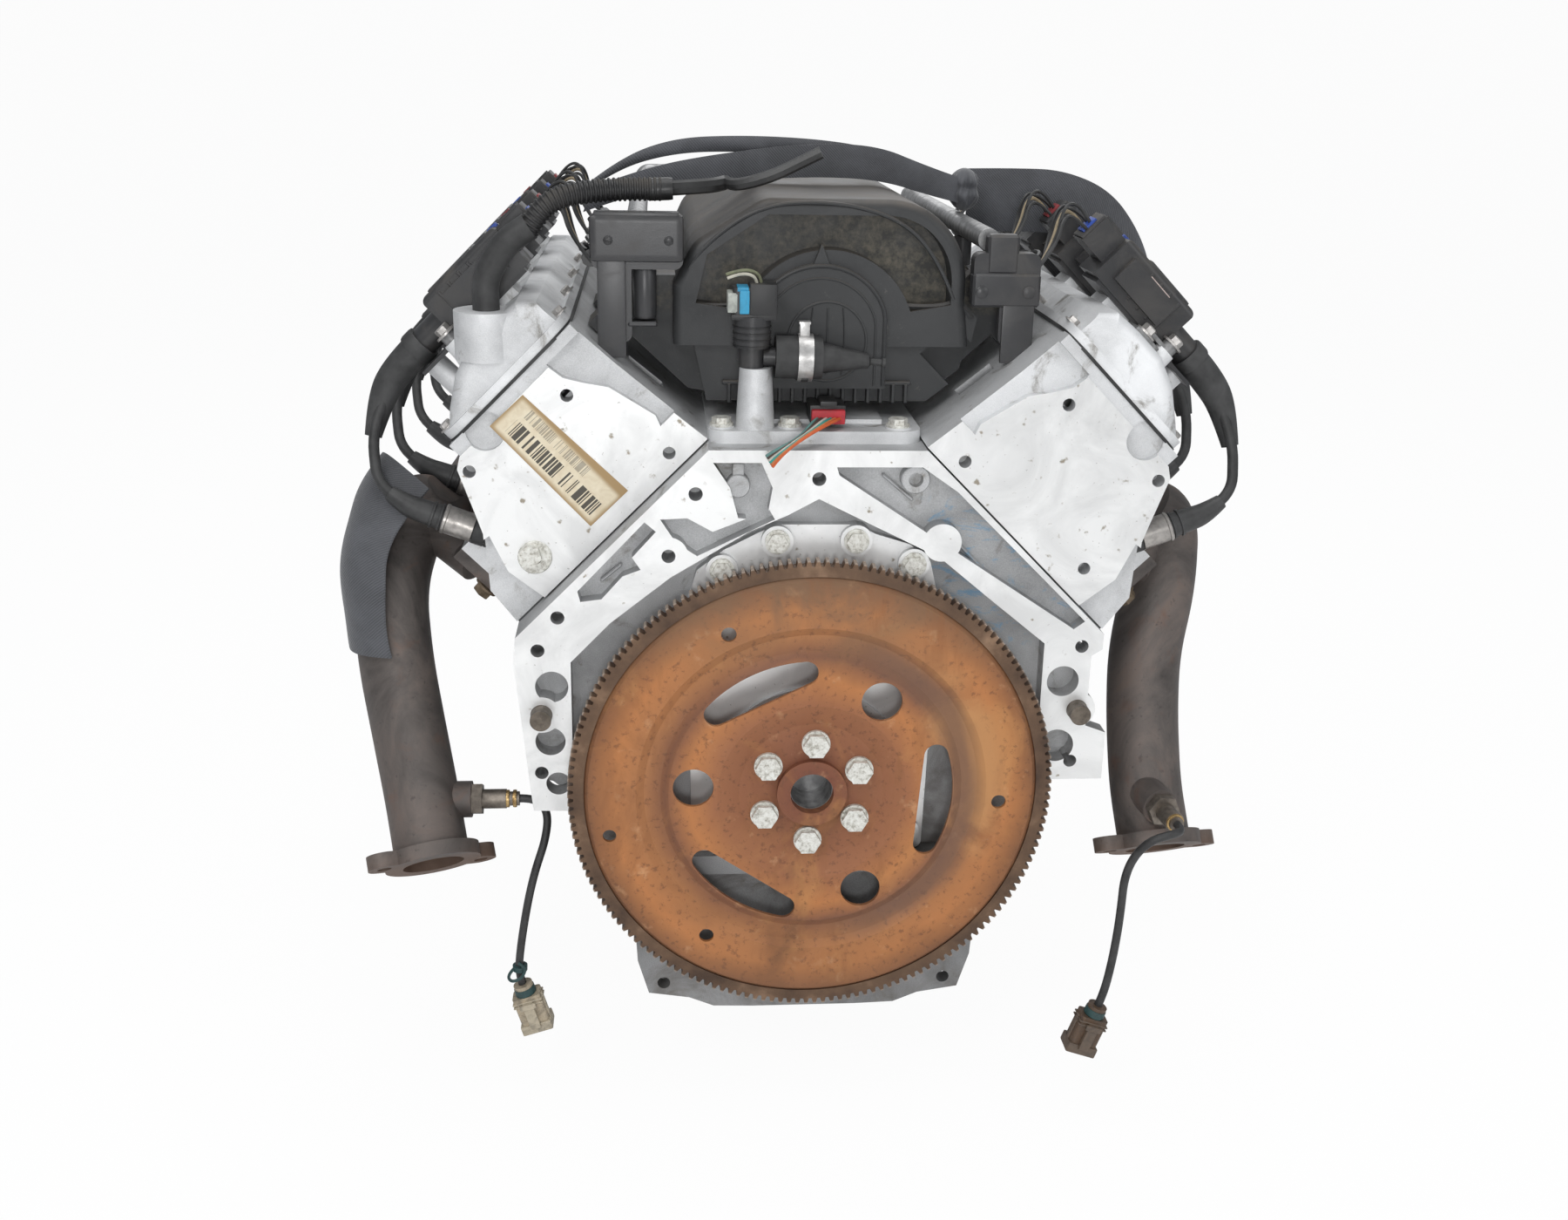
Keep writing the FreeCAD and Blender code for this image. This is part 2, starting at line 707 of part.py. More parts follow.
def head_gaskets():
    gaskets = []
    for side in (LEFT, RIGHT):
        low = cylinder_y(0) - bank_end_margin
        sheet = box(-96, 69, low + 8, low + head_length - 10, deck_height, deck_height + gasket_thickness)
        holes = [rod((0, cylinder_y(i), deck_height), (0, 0, 1), bore / 2 + 1, gasket_thickness)
                 for i in range(cylinder_count)]
        holes += [box(-99, -77, cylinder_y(i) - 30, cylinder_y(i) + 30, deck_height, deck_height + gasket_thickness)
                  for i in range(cylinder_count)]
        gaskets.append(bank(cut(sheet, holes), side))
    return gaskets


def valve_cover(side):
    """A cast cover: a flange on the head's rail and a domed body with pads for the coils."""
    low = cylinder_y(0) - bank_end_margin + 3
    high = low + head_length - 6
    flange = box(rail_inboard, rail_outboard, low, high, rail_top, rail_top + 8)
    flange = rounded(flange, 20, lambda e: isinstance(e.Curve, Part.Line) and abs(e.Curve.Direction.z) > 0.9)
    profile = [(rail_inboard + cover_inset, rail_top + 7), (-108, cover_top - 12), (-98, cover_top - 2),
               (-78, cover_top), (-52, cover_top), (-30, cover_top - 8), (-12, cover_top - 20),
               (rail_outboard - cover_inset, rail_top + 7)]
    dome = prism(profile, low + 7, high - 7)
    dome = rounded(dome, 10, lambda e: not along_y(e) and e.BoundBox.ZMin > rail_top + 8)
    inner = [(rail_inboard + 12, rail_top), (-101, cover_top - 14), (-92, cover_top - 7), (-54, cover_top - 7),
             (-34, cover_top - 14), (-8, rail_top)]
    hollow = prism(inner, low + 14, high - 14)
    pads = []
    for index in range(cylinder_count):
        y = cylinder_y(index) + coil_shift
        pads.append(box(-96, -60, y - 16, y + 16, cover_top - 8, coil_base - 3))
        pads.append(rod((-12, y, rail_top + 6), (0, 0, 1), 9, coil_base - 3 - rail_top - 6))
    cover = cut(fuse([flange, dome]), [hollow])
    cover = fuse([cover] + pads)
    if side == LEFT:
        neck = rod((neck_x, low + 26, neck_z), (-1, 0, 1), 23, neck_length)
        cover = fuse([cover, neck])
        cover = cut(cover, [hollow])
    return bank(cover, side)


def ignition_coils():
    """Eight coils across the covers, each with a core, a moulded body and a socket for its wire."""
    coils = []
    for side in (LEFT, RIGHT):
        for index in range(cylinder_count):
            y = cylinder_y(index) + coil_shift
            plate = box(-112, -4, y - 20, y + 20, coil_base - 3, coil_base)
            body = box(coil_inboard + 22, coil_inboard + coil_length - 6, y - coil_width / 2, y + coil_width / 2,
                       coil_base, coil_base + coil_height - 4)
            body = rounded(body, 5, lambda e: e.BoundBox.ZMin > coil_base + 1)
            core = box(coil_inboard + 34, coil_inboard + coil_length - 22, y - coil_width / 2 - 5,
                       y + coil_width / 2 + 5, coil_base + 8, coil_base + 28)
            socket = rod((coil_socket_x, y, coil_base + coil_socket_rise), (1, 0, 0), 11, coil_socket_length)
            plug = box(coil_inboard, coil_inboard + 26, y - 14, y + 14, coil_base + 10, coil_base + 32)
            coils.append(bank(fuse([plate, body, core, socket, plug]), side))
    return coils


def plug_wires():
    """A lead from each coil over the edge of the cover to its spark plug's boot."""
    wires = []
    end_x = plug_seat_x + plug_lean_x * plug_boot_end
    end_z = plug_seat_z + plug_lean_z * plug_boot_end
    for side in (LEFT, RIGHT):
        for index in range(cylinder_count):
            y = cylinder_y(index)
            start = (coil_socket_x + coil_socket_length, y + coil_shift, coil_base + coil_socket_rise)
            route = [start, (start[0] + 22, y + coil_shift, start[2]), (56, y + 2, cover_top + 4),
                     (74, y - 22, rail_top + 16),
                     (end_x + 18 * plug_lean_x, y + plug_shift, end_z + 18 * plug_lean_z),
                     (end_x, y + plug_shift, end_z)]
            wires.append(tube([bank_point(*point, side) for point in route], plug_wire_radius))
    return wires


def spark_plugs():
    """Each plug in its seat, with the rubber boot that the lead ends in."""
    plugs = []
    for side in (LEFT, RIGHT):
        for index in range(cylinder_count):
            y = cylinder_y(index)
            shell = spark_plug_rod(y, -28, 4, plug_radius)
            nut = spark_plug_rod(y, 3, 12, plug_radius + 2.5)
            boot = spark_plug_rod(y, 11, plug_boot_end, plug_radius)
            plugs.append(bank(fuse([shell, nut, boot]), side))
    return plugs


def valve_lifters():
    lifters = []
    for side in (LEFT, RIGHT):
        for index in range(cylinder_count):
            for shift in (-lifter_pair_half, lifter_pair_half):
                y = cylinder_y(index) + shift
                lifters.append(bank(rod((pushrod_x, y, lifter_low), (0, 0, 1), lifter_radius, lifter_length), side))
    return lifters


def pushrods():
    rods = []
    for side in (LEFT, RIGHT):
        for index in range(cylinder_count):
            for shift in (-lifter_pair_half, lifter_pair_half):
                y = cylinder_y(index) + shift
                low = lifter_low + lifter_length
                rods.append(bank(rod((pushrod_x, y, low), (0, 0, 1), pushrod_radius, pushrod_top - low), side))
    return rods


def rocker_arms():
    arms = []
    for side in (LEFT, RIGHT):
        for index in range(cylinder_count):
            for shift in (-lifter_pair_half, lifter_pair_half):
                y = cylinder_y(index) + shift
                outline = over_deck([(-94, pushrod_rise), (-80, pushrod_rise), (-72, 124), (-60, 124), (-46, 130),
                                     (-32, 128.5), (-32, 135), (-60, 144), (-78, 142), (-94, 138)])
                arms.append(bank(prism(outline, y - 8, y + 8), side))
    return arms


def valves():
    """Each valve with its spring and retainer round the stem."""
    pieces = []
    for side in (LEFT, RIGHT):
        for index in range(cylinder_count):
            for number, shift in enumerate((-valve_pair_half, valve_pair_half)):
                y = cylinder_y(index) + shift
                disc = rod((valve_x, y, deck_height + chamber_depth - 5), (0, 0, 1), 18.5 - 1.5 * number, 4)
                stem = valve_stem(y, valve_stem_radius)
                lift = spring_seat + 3.5 - deck_height - chamber_depth + 3
                spring_x = valve_x + valve_lean_x * lift / valve_lean_z
                spring = rod((spring_x, y, spring_seat + 3.5), (valve_lean_x, 0, valve_lean_z), 12.5, 28)
                pieces.append(bank(fuse([disc, stem, spring]), side))
    return pieces


def rear_cover():
    """The plate that closes the crankcase round the rear seal, with raised bolt bosses."""
    low = cover_plate_y
    outline = [(30, 199), (43, 192), (69, 184), (84, 172), (92, 140), (88, pan_rail_z), (-88, pan_rail_z), (-92, 140),
               (-85, 165), (-66, 180), (-41, 193), (-27, 199)]
    plate = rounded(prism(outline, low, low + cover_plate_thickness), 6, along_y)
    bosses = []
    for x, z in rear_cover_bolts_all():
        bosses.append(rod_y(x, low - cover_boss_height, low + cover_plate_thickness, z, cover_boss_radius))
    ring = rod_y(0, low - 4, low + cover_plate_thickness, 0, seal_radius + 14)
    ring = cut(ring, [box(-100, 100, 0, bell_depth, -100, pan_rail_z)])
    cover = fuse([plate, ring] + bosses)
    return cut(cover, [rod_y(0, 0, bell_depth, 0, seal_radius + 0.05)])


def rear_cover_bolts_all():
    low_bolts = ((-80.0, 110.0), (80.0, 110.0), (-79.0, 30.0), (79.0, 30.0), (-74.0, -44.0), (74.0, -44.0))
    return cover_bolt_places + low_bolts


def rear_seal():
    low = cover_plate_y - 4
    seal = rod_y(0, low, low + seal_depth, 0, seal_radius)
    return cut(seal, [rod_y(0, low, low + seal_depth, 0, crank_flange_radius + seal_clearance)])


tower_x = -43.0
tower_y = 36.0
valley_boss_height = 10.0


def valley_cover():
    """A flat cast plate over the valley, with a raised rim and the sensor's tower on its rear end."""
    low = 20.0
    high = block_front - 18
    base = valley_deck
    plate = box(-77, 76, low, high, base, base + 9)
    plate = rounded(plate, 14, lambda e: isinstance(e.Curve, Part.Line) and abs(e.Curve.Direction.z) > 0.9)
    crown = box(-50, 50, low + 27, high - 18, base + 8, base + 12)
    tower = Part.makeCone(14.0, 11.5, 44.0, V(tower_x, tower_y, base + 8), V(0, 0, 1))
    bosses = [rod((x, y, base), (0, 0, 1), 9.5, valley_boss_height) for x, y in valley_bolt_places()]
    return fuse([plate, crown, tower] + bosses)


def valley_bolt_places():
    return [(-67, 36), (-18, 36), (60, 34), (-62, 160), (62, 160), (-62, 280), (62, 280), (-62, 400), (62, 400)]


def oil_pressure_sensor():
    base = valley_deck + 52.2
    fitting = rod((-46, 36, base), (0, 0, 1), 9.0, 14)
    body = rod((-46, 36, base + 14), (0, 0, 1), 13.0, 22)
    socket = box(-60, -30, 26, 46, base + 34, base + 56)
    socket = rounded(socket, 3, lambda e: isinstance(e.Curve, Part.Line) and abs(e.Curve.Direction.z) > 0.9)
    barb = rod((-38, 36, base + 7), (1, 0, 0), 6.5, 18)
    return fuse([fitting, body, socket, barb])


def vent_hose():
    """A short hose on the fitting, its clamp, and the closed rubber end."""
    z = valley_deck + 59.2
    hose = rod((-29.5, 36, z), (1, 0, -0.02), 15.0, 33)
    hose = cut(hose, [rod((-36, 36, z), (1, 0, 0), 6.6, 24)])
    neck = Part.makeCone(11.0, 5.0, 34.0, V(3.0, 36, z - 0.6), V(1, 0, -0.06))
    return fuse([hose, neck])


def hose_clamp():
    z = valley_deck + 59.2
    band = rod((-14, 36, z - 0.3), (1, 0, -0.02), 16.2, 11)
    band = cut(band, [rod((-15, 36, z - 0.3), (1, 0, -0.02), 15.05, 14)])
    ear = box(-12, -6, 34, 38, z + 15.2, z + 24)
    return fuse([band, ear])


def oil_pan():
    """A cast pan: a rear flange that finishes the bellhousing circle, a deep sump and a shallow front."""
    rail = box(-pan_rail_half, pan_rail_half, 4, block_front + front_cover_depth, pan_rail_z - 10, pan_rail_z - 0.5)
    sump = prism(mirrored([(128, pan_rail_z - 8), (124, -150), (112, pan_bottom)]), 14, pan_sump_length)
    sump = rounded(sump, 14, lambda e: e.BoundBox.ZMax < -100)
    shallow = prism(mirrored([(128, pan_rail_z - 8), (118, pan_shallow)]), pan_sump_length - 30,
                    block_front + front_cover_depth - 4)
    shallow = rounded(shallow, 12, lambda e: along_y(e) and e.BoundBox.ZMax < -100)
    flange = prism(mirrored([(135, pan_rail_z - 0.5), (130, -150), (121.5, -179), (90, -184), (71, -192), (40, -193)]), 0, 14)
    hollow = prism(mirrored([(116, pan_rail_z), (113, -146), (102, pan_bottom + 8)]), 22, pan_sump_length - 8)
    hollow_front = prism(mirrored([(112, pan_rail_z), (108, pan_shallow + 7)]), pan_sump_length - 60,
                         block_front + front_cover_depth - 14)
    pan = cut(fuse([rail, sump, shallow, flange]), [hollow, hollow_front])
    pocket = prism(mirrored([(104, -76), (98, -146), (88, -160), (20, -168)]), 0, 9)
    holes = [rod_y(x, 0, 14, -170.3, 5.0) for x in (-109.9, 109.9)]
    plug = rod((60, pan_sump_length - 60, pan_bottom), (0, 0, -1), 9, 6)
    return cut(fuse([pan, plug]), holes + [pocket])


def front_cover():
    low = block_front
    outline = mirrored([(40, 215), (76, 180), (84, 120), (96, 20), (118, pan_rail_z)])
    cover = prism(outline, low, low + front_cover_depth)
    cover = rounded(cover, 14, lambda e: along_y(e) and e.BoundBox.ZMin > -20)
    inside = prism(mirrored([(34, 206), (68, 174), (74, 118), (84, 18), (100, pan_rail_z)]), low, low + front_cover_depth - 6)
    snout = rod_y(0, low, low + front_cover_depth + 4, 0, 40.0)
    cover = fuse([cut(cover, [inside]), cut(rod_y(0, low + front_cover_depth - 6, low + front_cover_depth + 4, 0, 40),
                                            [rod_y(0, low, low + front_cover_depth + 5, 0, 30.0)])])
    return cut(cover, [rod_y(0, low, low + front_cover_depth + 5, 0, 30.0)])


def oil_pump():
    low = block_front + timing_y + timing_width + 1.0
    body = prism([(-50, -44), (50, -44), (58, 0), (46, 46), (-46, 46), (-58, 0)], low, low + 8)
    pickup_block = box(-44, -16, low, low + 8, -56, -40)
    return cut(fuse([body, pickup_block]), [rod_y(0, low, low + 8, 0, 22.4)])


def harmonic_balancer():
    low = block_front + front_cover_depth + 8
    outline = [(22.05, low), (29.5, low), (29.5, low + 10), (58, low + 14), (58, low + 34), (balancer_radius - 12, low + 34),
               (balancer_radius - 12, low + 6), (balancer_radius, low + 6)]
    groove_count = 6
    groove_pitch = 3.6
    y = low + 10
    for _ in range(groove_count):
        outline += [(balancer_radius, y), (balancer_radius - 3, y + groove_pitch / 2), (balancer_radius, y + groove_pitch)]
        y += groove_pitch
    outline += [(balancer_radius, low + balancer_width), (balancer_radius - 6, low + balancer_width),
                (balancer_radius - 6, low + 42), (24, low + 42), (24, low + 26), (10, low + 26), (10, low + 20),
                (22.05, low + 20)]
    corners = [V(r, h, 0) for r, h in outline]
    wheel = Part.Face(Part.makePolygon(corners + corners[:1])).revolve(V(0, 0, 0), V(0, 1, 0), 360)
    return wheel


pump_x = 0.0
pump_z = 162.0
pump_neck_way = (0.35, 0.94, 0.1)
pump_neck_radius = 21.0
pump_neck_length = 66.0
pump_lip_length = 24.0
pump_inlet_radius = 18.0


def water_pump():
    """The pump's casting over the front cover, with two legs to the banks and an inlet neck."""
    low = block_front + front_cover_depth
    body = rod_y(pump_x, low + 1, low + 44, pump_z, 56.0)
    legs = prism(mirrored([(112, 212), (128, 190), (120, 160), (60, 132)]), low + 1, low + 26)
    feet = [prism([(s * 86, 200), (s * 120, 200), (s * 120, 164), (s * 86, 164)], block_front, low + 2)
            for s in (-1, 1)]
    seat = V(96, low + 14, 188)
    way = V(*pump_neck_way).normalize()
    neck = rod(tuple(seat), tuple(way), pump_neck_radius + 1.0, pump_neck_length - pump_lip_length)
    lip = rod(tuple(seat + way * (pump_neck_length - pump_lip_length)), tuple(way), pump_neck_radius, pump_lip_length)
    nose = rod_y(pump_x, low + 40, low + 62, pump_z, 26.0)
    pump = fuse([body, legs, neck, lip, nose] + feet)
    chamber = rod_y(pump_x, low + 8, low + 30, pump_z, 50.0)
    shaft_bore = rod_y(pump_x, low + 20, low + 70, pump_z, 8.05)
    inlet = rod(tuple(seat), tuple(way), pump_inlet_radius, pump_neck_length)
    return cut(pump, [chamber, shaft_bore, inlet])


def water_pump_rotor():
    """The impeller, its shaft and the flanged pulley turn as one."""
    low = block_front + front_cover_depth
    disc = rod_y(pump_x, low + 11, low + 15, pump_z, 46.0)
    vanes = []
    for index in range(6):
        vane = box(12, 45, low + 14, low + 25, -1.5, 1.5)
        vane.rotate(V(0, 0, 0), V(0, 1, 0), index * 60)
        vane.translate(V(pump_x, 0, pump_z))
        vanes.append(vane)
    hub = rod_y(pump_x, low + 11, low + 25, pump_z, 14.0)
    shaft = rod_y(pump_x, low + 24, low + 72, pump_z, 8.0)
    outline = [(0, low + 66), (40, low + 66), (58, low + 78), (pulley_radius, low + 78), (pulley_radius, low + 104),
               (pulley_radius - 5, low + 104), (pulley_radius - 5, low + 83), (56, low + 83), (38, low + 71), (0, low + 71)]
    corners = [V(r, h, 0) for r, h in outline]
    pulley = Part.Face(Part.makePolygon(corners + corners[:1])).revolve(V(0, 0, 0), V(0, 1, 0), 360)
    pulley.translate(V(pump_x, 0, pump_z))
    return fuse([disc, hub, shaft, pulley] + vanes)


def shaped(start, steps, y_low, y_high):
    """A straight solid whose outline has arcs: each step is an end point, or a middle and an end point."""
    edges = []
    here = V(start[0], y_low, start[1])
    for step in steps:
        places = [V(x, y_low, z) for x, z in step]
        if len(places) == 1:
            edges.append(Part.LineSegment(here, places[0]).toShape())
        else:
            edges.append(Part.Arc(here, places[0], places[1]).toShape())
        here = places[-1]
    return Part.Face(Part.Wire(edges)).extrude(V(0, y_high - y_low, 0))


shoulder_radius = 58.0
shoulder_x = 51.0
shoulder_z = 363.0
hood_rear = 58.0
hood_front = 450.0
plenum_floor = 318.0
skirt_bottom = 277.0
lower_rear = 84.3
plenum_wall = 6.0


def shoulder_point(degrees, shrink=0.0):
    x, z = polar(shoulder_radius - shrink, degrees)
    return shoulder_x + x, shoulder_z + z


def plenum(shrink, y_low, y_high):
    """The hood's section, drawn in by a wall where it is the inside."""
    left = shrink - 101
    floor = plenum_floor + shrink
    crown = shoulder_z + shoulder_radius - shrink
    return shaped((left, floor), [[(left, 360)], [(shrink - 87, 390 - shrink / 2)], [(-37, crown)], [(shoulder_x, crown)],
                                  [shoulder_point(45, shrink), shoulder_point(0, shrink)], [(109 - shrink, 348)],
                                  [(113 - shrink, floor)], [(left, floor)]], y_low, y_high)


def intake_upper():
    """The plenum: an arched rear hood over a recessed wall, a D-shaped boss, and the hollow body behind it."""
    low = hood_rear
    hood = plenum(0.0, low, hood_front)
    hood = rounded(hood, 24, lambda e: along_y(e) and e.BoundBox.ZMin > 380 and e.BoundBox.XMax < 0)
    hood = rounded(hood, 7, lambda e: e.BoundBox.YMax < low + 1 and e.BoundBox.ZMax > plenum_floor + 1)
    lip = 11.0
    crown = shoulder_z + shoulder_radius - lip
    recess = shaped((-85, 348), [[(-77, 382)], [(-34, crown)], [(shoulder_x, crown)],
                                 [shoulder_point(45, lip), shoulder_point(0, lip)], [(98, 348)], [(69, 343)],
                                 [(7, 386), (-51, 343)], [(-85, 348)]], low, low + 22)
    skirt = prism([(-93, 350), (108, 350), (119, 338), (111, 298), (84, skirt_bottom), (-77, skirt_bottom)],
                  low + 6, low + 26)
    boss = shaped((-45, 288), [[(52, 288)], [(52, 333)], [(3.5, 377), (-45, 333)], [(-45, 288)]], low - 4, low + 10)
    inside = plenum(plenum_wall, low + 32, hood_front - plenum_wall)
    inlet = rod_y(0, hood_front - 2 * plenum_wall, hood_front, throttle_height, throttle_radius)
    return cut(fuse([hood, skirt, boss]), [recess, inside, inlet] + intake_ports())


def intake_lower():
    """The runner base between the heads: a wedge that carries the plenum, with a port to each cylinder."""
    outline = mirrored([(124, 364), (150, 338), (90, 282), (60, skirt_bottom)])
    base = rounded(prism(outline, lower_rear, hood_front - 2), 5, along_y)
    runners = []
    for side in (LEFT, RIGHT):
        shift = bank_offset if side == LEFT else 0.0
        for index in range(cylinder_count):
            y = cylinder_y(index) + shift
            runner_low = max(y - 26, lower_rear)
            runner = box(-30, 27, 0, y + 26 - runner_low, -10, 14)
            runner.rotate(V(0, 0, 0), V(0, 1, 0), side * bank_angle)
            runner.translate(V(side * 131, runner_low, 340))
            runners.append(runner)
    holes = [injector_rod(side, index, injector_radius + 0.05) for side in (LEFT, RIGHT)
             for index in range(cylinder_count)]
    room = plenum(-0.02, lower_rear - 1, hood_front)
    return cut(fuse([base] + runners), [room] + holes + intake_ports())


def intake_brackets():
    """The rear ends of the rail covers, one to each side of the plenum, with a hanging tab."""
    low = 50.0
    left = [rounded(prism([(-158, 410), (-94, 410), (-94, 372), (-158, 372)], low, low + 22), 6, along_y),
            rounded(prism([(-152, 384), (-130, 384), (-130, 321), (-152, 321)], low, low + 6), 6, along_y)]
    right = [rounded(prism([(112, 386), (160, 386), (160, 350), (112, 350)], low, low + 14), 6, along_y),
             rounded(prism([(132, 364), (152, 364), (152, 321), (132, 321)], low, low + 6), 6, along_y)]
    return [cut(fuse(left), [plenum(0.0, low, hood_front)]), fuse(right)]


def fuel_rails():
    """Two rails along the heads, joined by a crossover at the front."""
    bridge_y = hood_front + rail_overhang - rail_radius
    bridge_z = rail_z + rail_bridge_rise
    rails = [rod_y(side * rail_x, rail_rear, hood_front + rail_overhang, rail_z, rail_radius)
             for side in (LEFT, RIGHT)]
    bridge = tube([(-rail_x, bridge_y, rail_z), (-rail_x, bridge_y, bridge_z), (rail_x, bridge_y, bridge_z),
                   (rail_x, bridge_y, rail_z)], rail_bridge_radius)
    return [fuse(rails + [bridge])]


def injector_rod(side, index, radius):
    shift = bank_offset if side == LEFT else 0.0
    return rod((side * rail_x, cylinder_y(index) + shift, rail_z - rail_radius), (0, 0, -1), radius, injector_length)


def fuel_injectors():
    injectors = []
    for side in (LEFT, RIGHT):
        shift = bank_offset if side == LEFT else 0.0
        for index in range(cylinder_count):
            y = cylinder_y(index) + shift
            clip_low = rail_z - rail_radius - 13
            clip = box(side * rail_x - 7, side * rail_x + 7, y + 5, y + 17, clip_low, clip_low + 11)
            injectors.append(fuse([injector_rod(side, index, injector_radius), clip]))
    return injectors


def throttle_body():
    low = hood_front
    z = throttle_height
    end = low + throttle_length
    outer = rod_y(0, low + 0.5, end - throttle_collar, z, throttle_radius + throttle_wall)
    collar = rod_y(0, end - throttle_collar, end, z, throttle_collar_radius)
    flange = box(-52, 52, low + 0.5, low + 12, z - 52, z + 52)
    flange = rounded(flange, 10, along_y)
    motor = rod((52, low + 30, z - 30), (0, 0, 1), 16, 60)
    link = box(38, 60, low + 14, low + 46, z - 26, z + 26)
    bodyshape = fuse([outer, collar, flange, motor, link])
    return cut(bodyshape, [rod_y(0, low, end, z, throttle_radius)])


def throttle_plate():
    low = hood_front
    z = throttle_height
    disc = rod_y(0, low + 28.75, low + 31.25, z, throttle_radius - 0.4)
    shaft = rod((-throttle_radius + 1, low + 30, z), (1, 0, 0), 4.5, 2 * throttle_radius - 2)
    return fuse([disc, shaft])


left_exhaust_path = ((-279, 470, 131), (-281, 360, 134), (-286, 240, 144), (-303, 134, 176), (-317, 88, 128),
                     (-312, 70, 72), (-304, 62, 20), (-294, 44, -30), (-286, 20, -62))
right_exhaust_path = ((279, 446, 131), (280, 336, 134), (283, 216, 146), (289, 116, 176), (281, 84, 128),
                      (270, 72, 76), (271, 64, 24), (273, 46, -26), (276, 22.7, -60))


def flange_at(centre, toward, half_width):
    """An oval two-bolt flange at a pipe's end, square to the pipe."""
    disc = Part.makeCylinder(36.0, flange_thickness, V(0, 0, 0), V(0, 0, 1))
    ears = [Part.makeCylinder(12.0, flange_thickness, V(s * (half_width - 12), 0, 0), V(0, 0, 1)) for s in (-1, 1)]
    bar = box(-half_width + 12, half_width - 12, -12, 12, 0, flange_thickness)
    flange = fuse([disc, bar] + ears)
    holes = [Part.makeCylinder(5.2, flange_thickness, V(s * (half_width - 12), 0, 0), V(0, 0, 1)) for s in (-1, 1)]
    flange = cut(flange, holes)
    turn = FreeCAD.Rotation(V(0, 0, 1), V(*toward))
    flange.Placement = FreeCAD.Placement(V(*centre), turn)
    return flange


def spark_plug_clearance(index, side):
    return bank(spark_plug_rod(cylinder_y(index), 0, plug_boot_end + 22, plug_radius + 4.5), side)


def exhaust_manifold(side):
    """A log along the head, fed by four short runners, that turns down to an oval flange at the rear."""
    path = left_exhaust_path if side == LEFT else right_exhaust_path
    shift = bank_offset if side == LEFT else 0.0
    pieces = [tube(path, pipe_radius)]
    last = V(*path[-1])
    ahead = (last - V(*path[-2])).normalize()
    for index in range(cylinder_count):
        y = cylinder_y(index)
        start = V(*bank_point(port_face + 5, y, port_height, side))
        goal_y = max(y + shift - 6, path[3][1])
        for first, second in zip(path[:3], path[1:4]):
            if second[1] <= goal_y <= first[1]:
                share = (first[1] - goal_y) / (first[1] - second[1])
                goal = V(*[a + (b - a) * share for a, b in zip(first, second)])
        way = goal - start
        pieces.append(Part.makeCylinder(18.0, way.Length, start, way))
        foot = box(port_face, port_face + 9, y - 26, y + 22, port_height - port_half, port_height + port_half)
        pieces.append(bank(foot, side))
    pieces.append(flange_at(tuple(last), tuple(ahead), 52.0))
    boss, sensor_hole = sensor_boss(side)
    manifold = fuse(pieces + [boss])
    end = last + ahead * flange_thickness
    outlet = Part.makeCylinder(outlet_radius, outlet_depth, end, ahead * -1)
    clear = [spark_plug_clearance(index, side) for index in range(cylinder_count)]
    clear.append(bank(box(0, port_face, -bank_offset, block_front, deck_height - 5, cover_top + 2), side))
    return cut(manifold, [outlet, sensor_hole] + clear)


left_sensor_seat = (-266.0, 42.0, -30.0)
right_sensor_seat = (270.0, 8.0, -24.0)
left_sensor_way = (1.0, 0.0, 0.0)
right_sensor_way = (0.12, -0.9928, 0.0)
left_sensor_reach = 46.0
right_sensor_reach = 40.0
sensor_body_radius = 9.0


def sensor_pieces(seat, along, reach):
    """A threaded body, a hexagon and a ribbed tail on one axis, from the seat outwards."""
    start = V(*seat)
    way = V(*along)

    def step(distance):
        return tuple(start + way * distance)

    return fuse([rod(seat, along, sensor_body_radius, 14), hexagon(step(10), along, 22.0, 8),
                 rod(step(16), along, 7.5, 20), rod(step(34), along, 5.5, reach - 34)])


def oxygen_sensors():
    return [sensor_pieces(left_sensor_seat, left_sensor_way, left_sensor_reach),
            sensor_pieces(right_sensor_seat, right_sensor_way, right_sensor_reach)]


def sensor_boss(side):
    """The boss on the pipe and the bore in it, for its sensor."""
    seat, along = (left_sensor_seat, left_sensor_way) if side == LEFT else (right_sensor_seat, right_sensor_way)
    start = V(*seat)
    way = V(*along)
    boss = rod(tuple(start - way * 16), tuple(way), 14.0, 25.9)
    hole = rod(seat, tuple(way), sensor_body_radius + 0.05, 20)
    return boss, hole


left_cord_points = ((-220, 42, -30), (-207, 42, -30), (-198, 37, -40), (-200, 27, -58), (-208, 20, -80),
                    (-214, 15, -104), (-220, 12, -138), (-223, 10, -164), (-220, 10, -174))
right_cord_points = ((274.8, -31.712, -24), (276, -41.64, -24), (266, -51, -22), (250, -50, -27), (240, -45, -42),
                     (235, -42, -62), (235.5, -40, -88), (235, -39, -112), (233, -38, -140), (229.5, -37, -166),
                     (226, -37, -176))


def sensor_cord(points):
    return tube(points, sensor_cord_radius)


def sensor_plug(points):
    """The moulded connector that hangs from a cord's end, in line with its last run."""
    end = V(*points[-1])
    way = (end - V(*points[-2])).normalize()
    collar = rod(tuple(end), tuple(way), 7.5, 10.0)
    body = box(-11, 11, -8, 8, 0, 32)
    body = rounded(body, 3, lambda e: isinstance(e.Curve, Part.Line) and abs(e.Curve.Direction.z) > 0.9)
    body.Placement = FreeCAD.Placement(end + way * 9, FreeCAD.Rotation(V(0, 0, 1), way))
    return fuse([collar, body])


strap_y = 200.0
strap_floor = 421.0


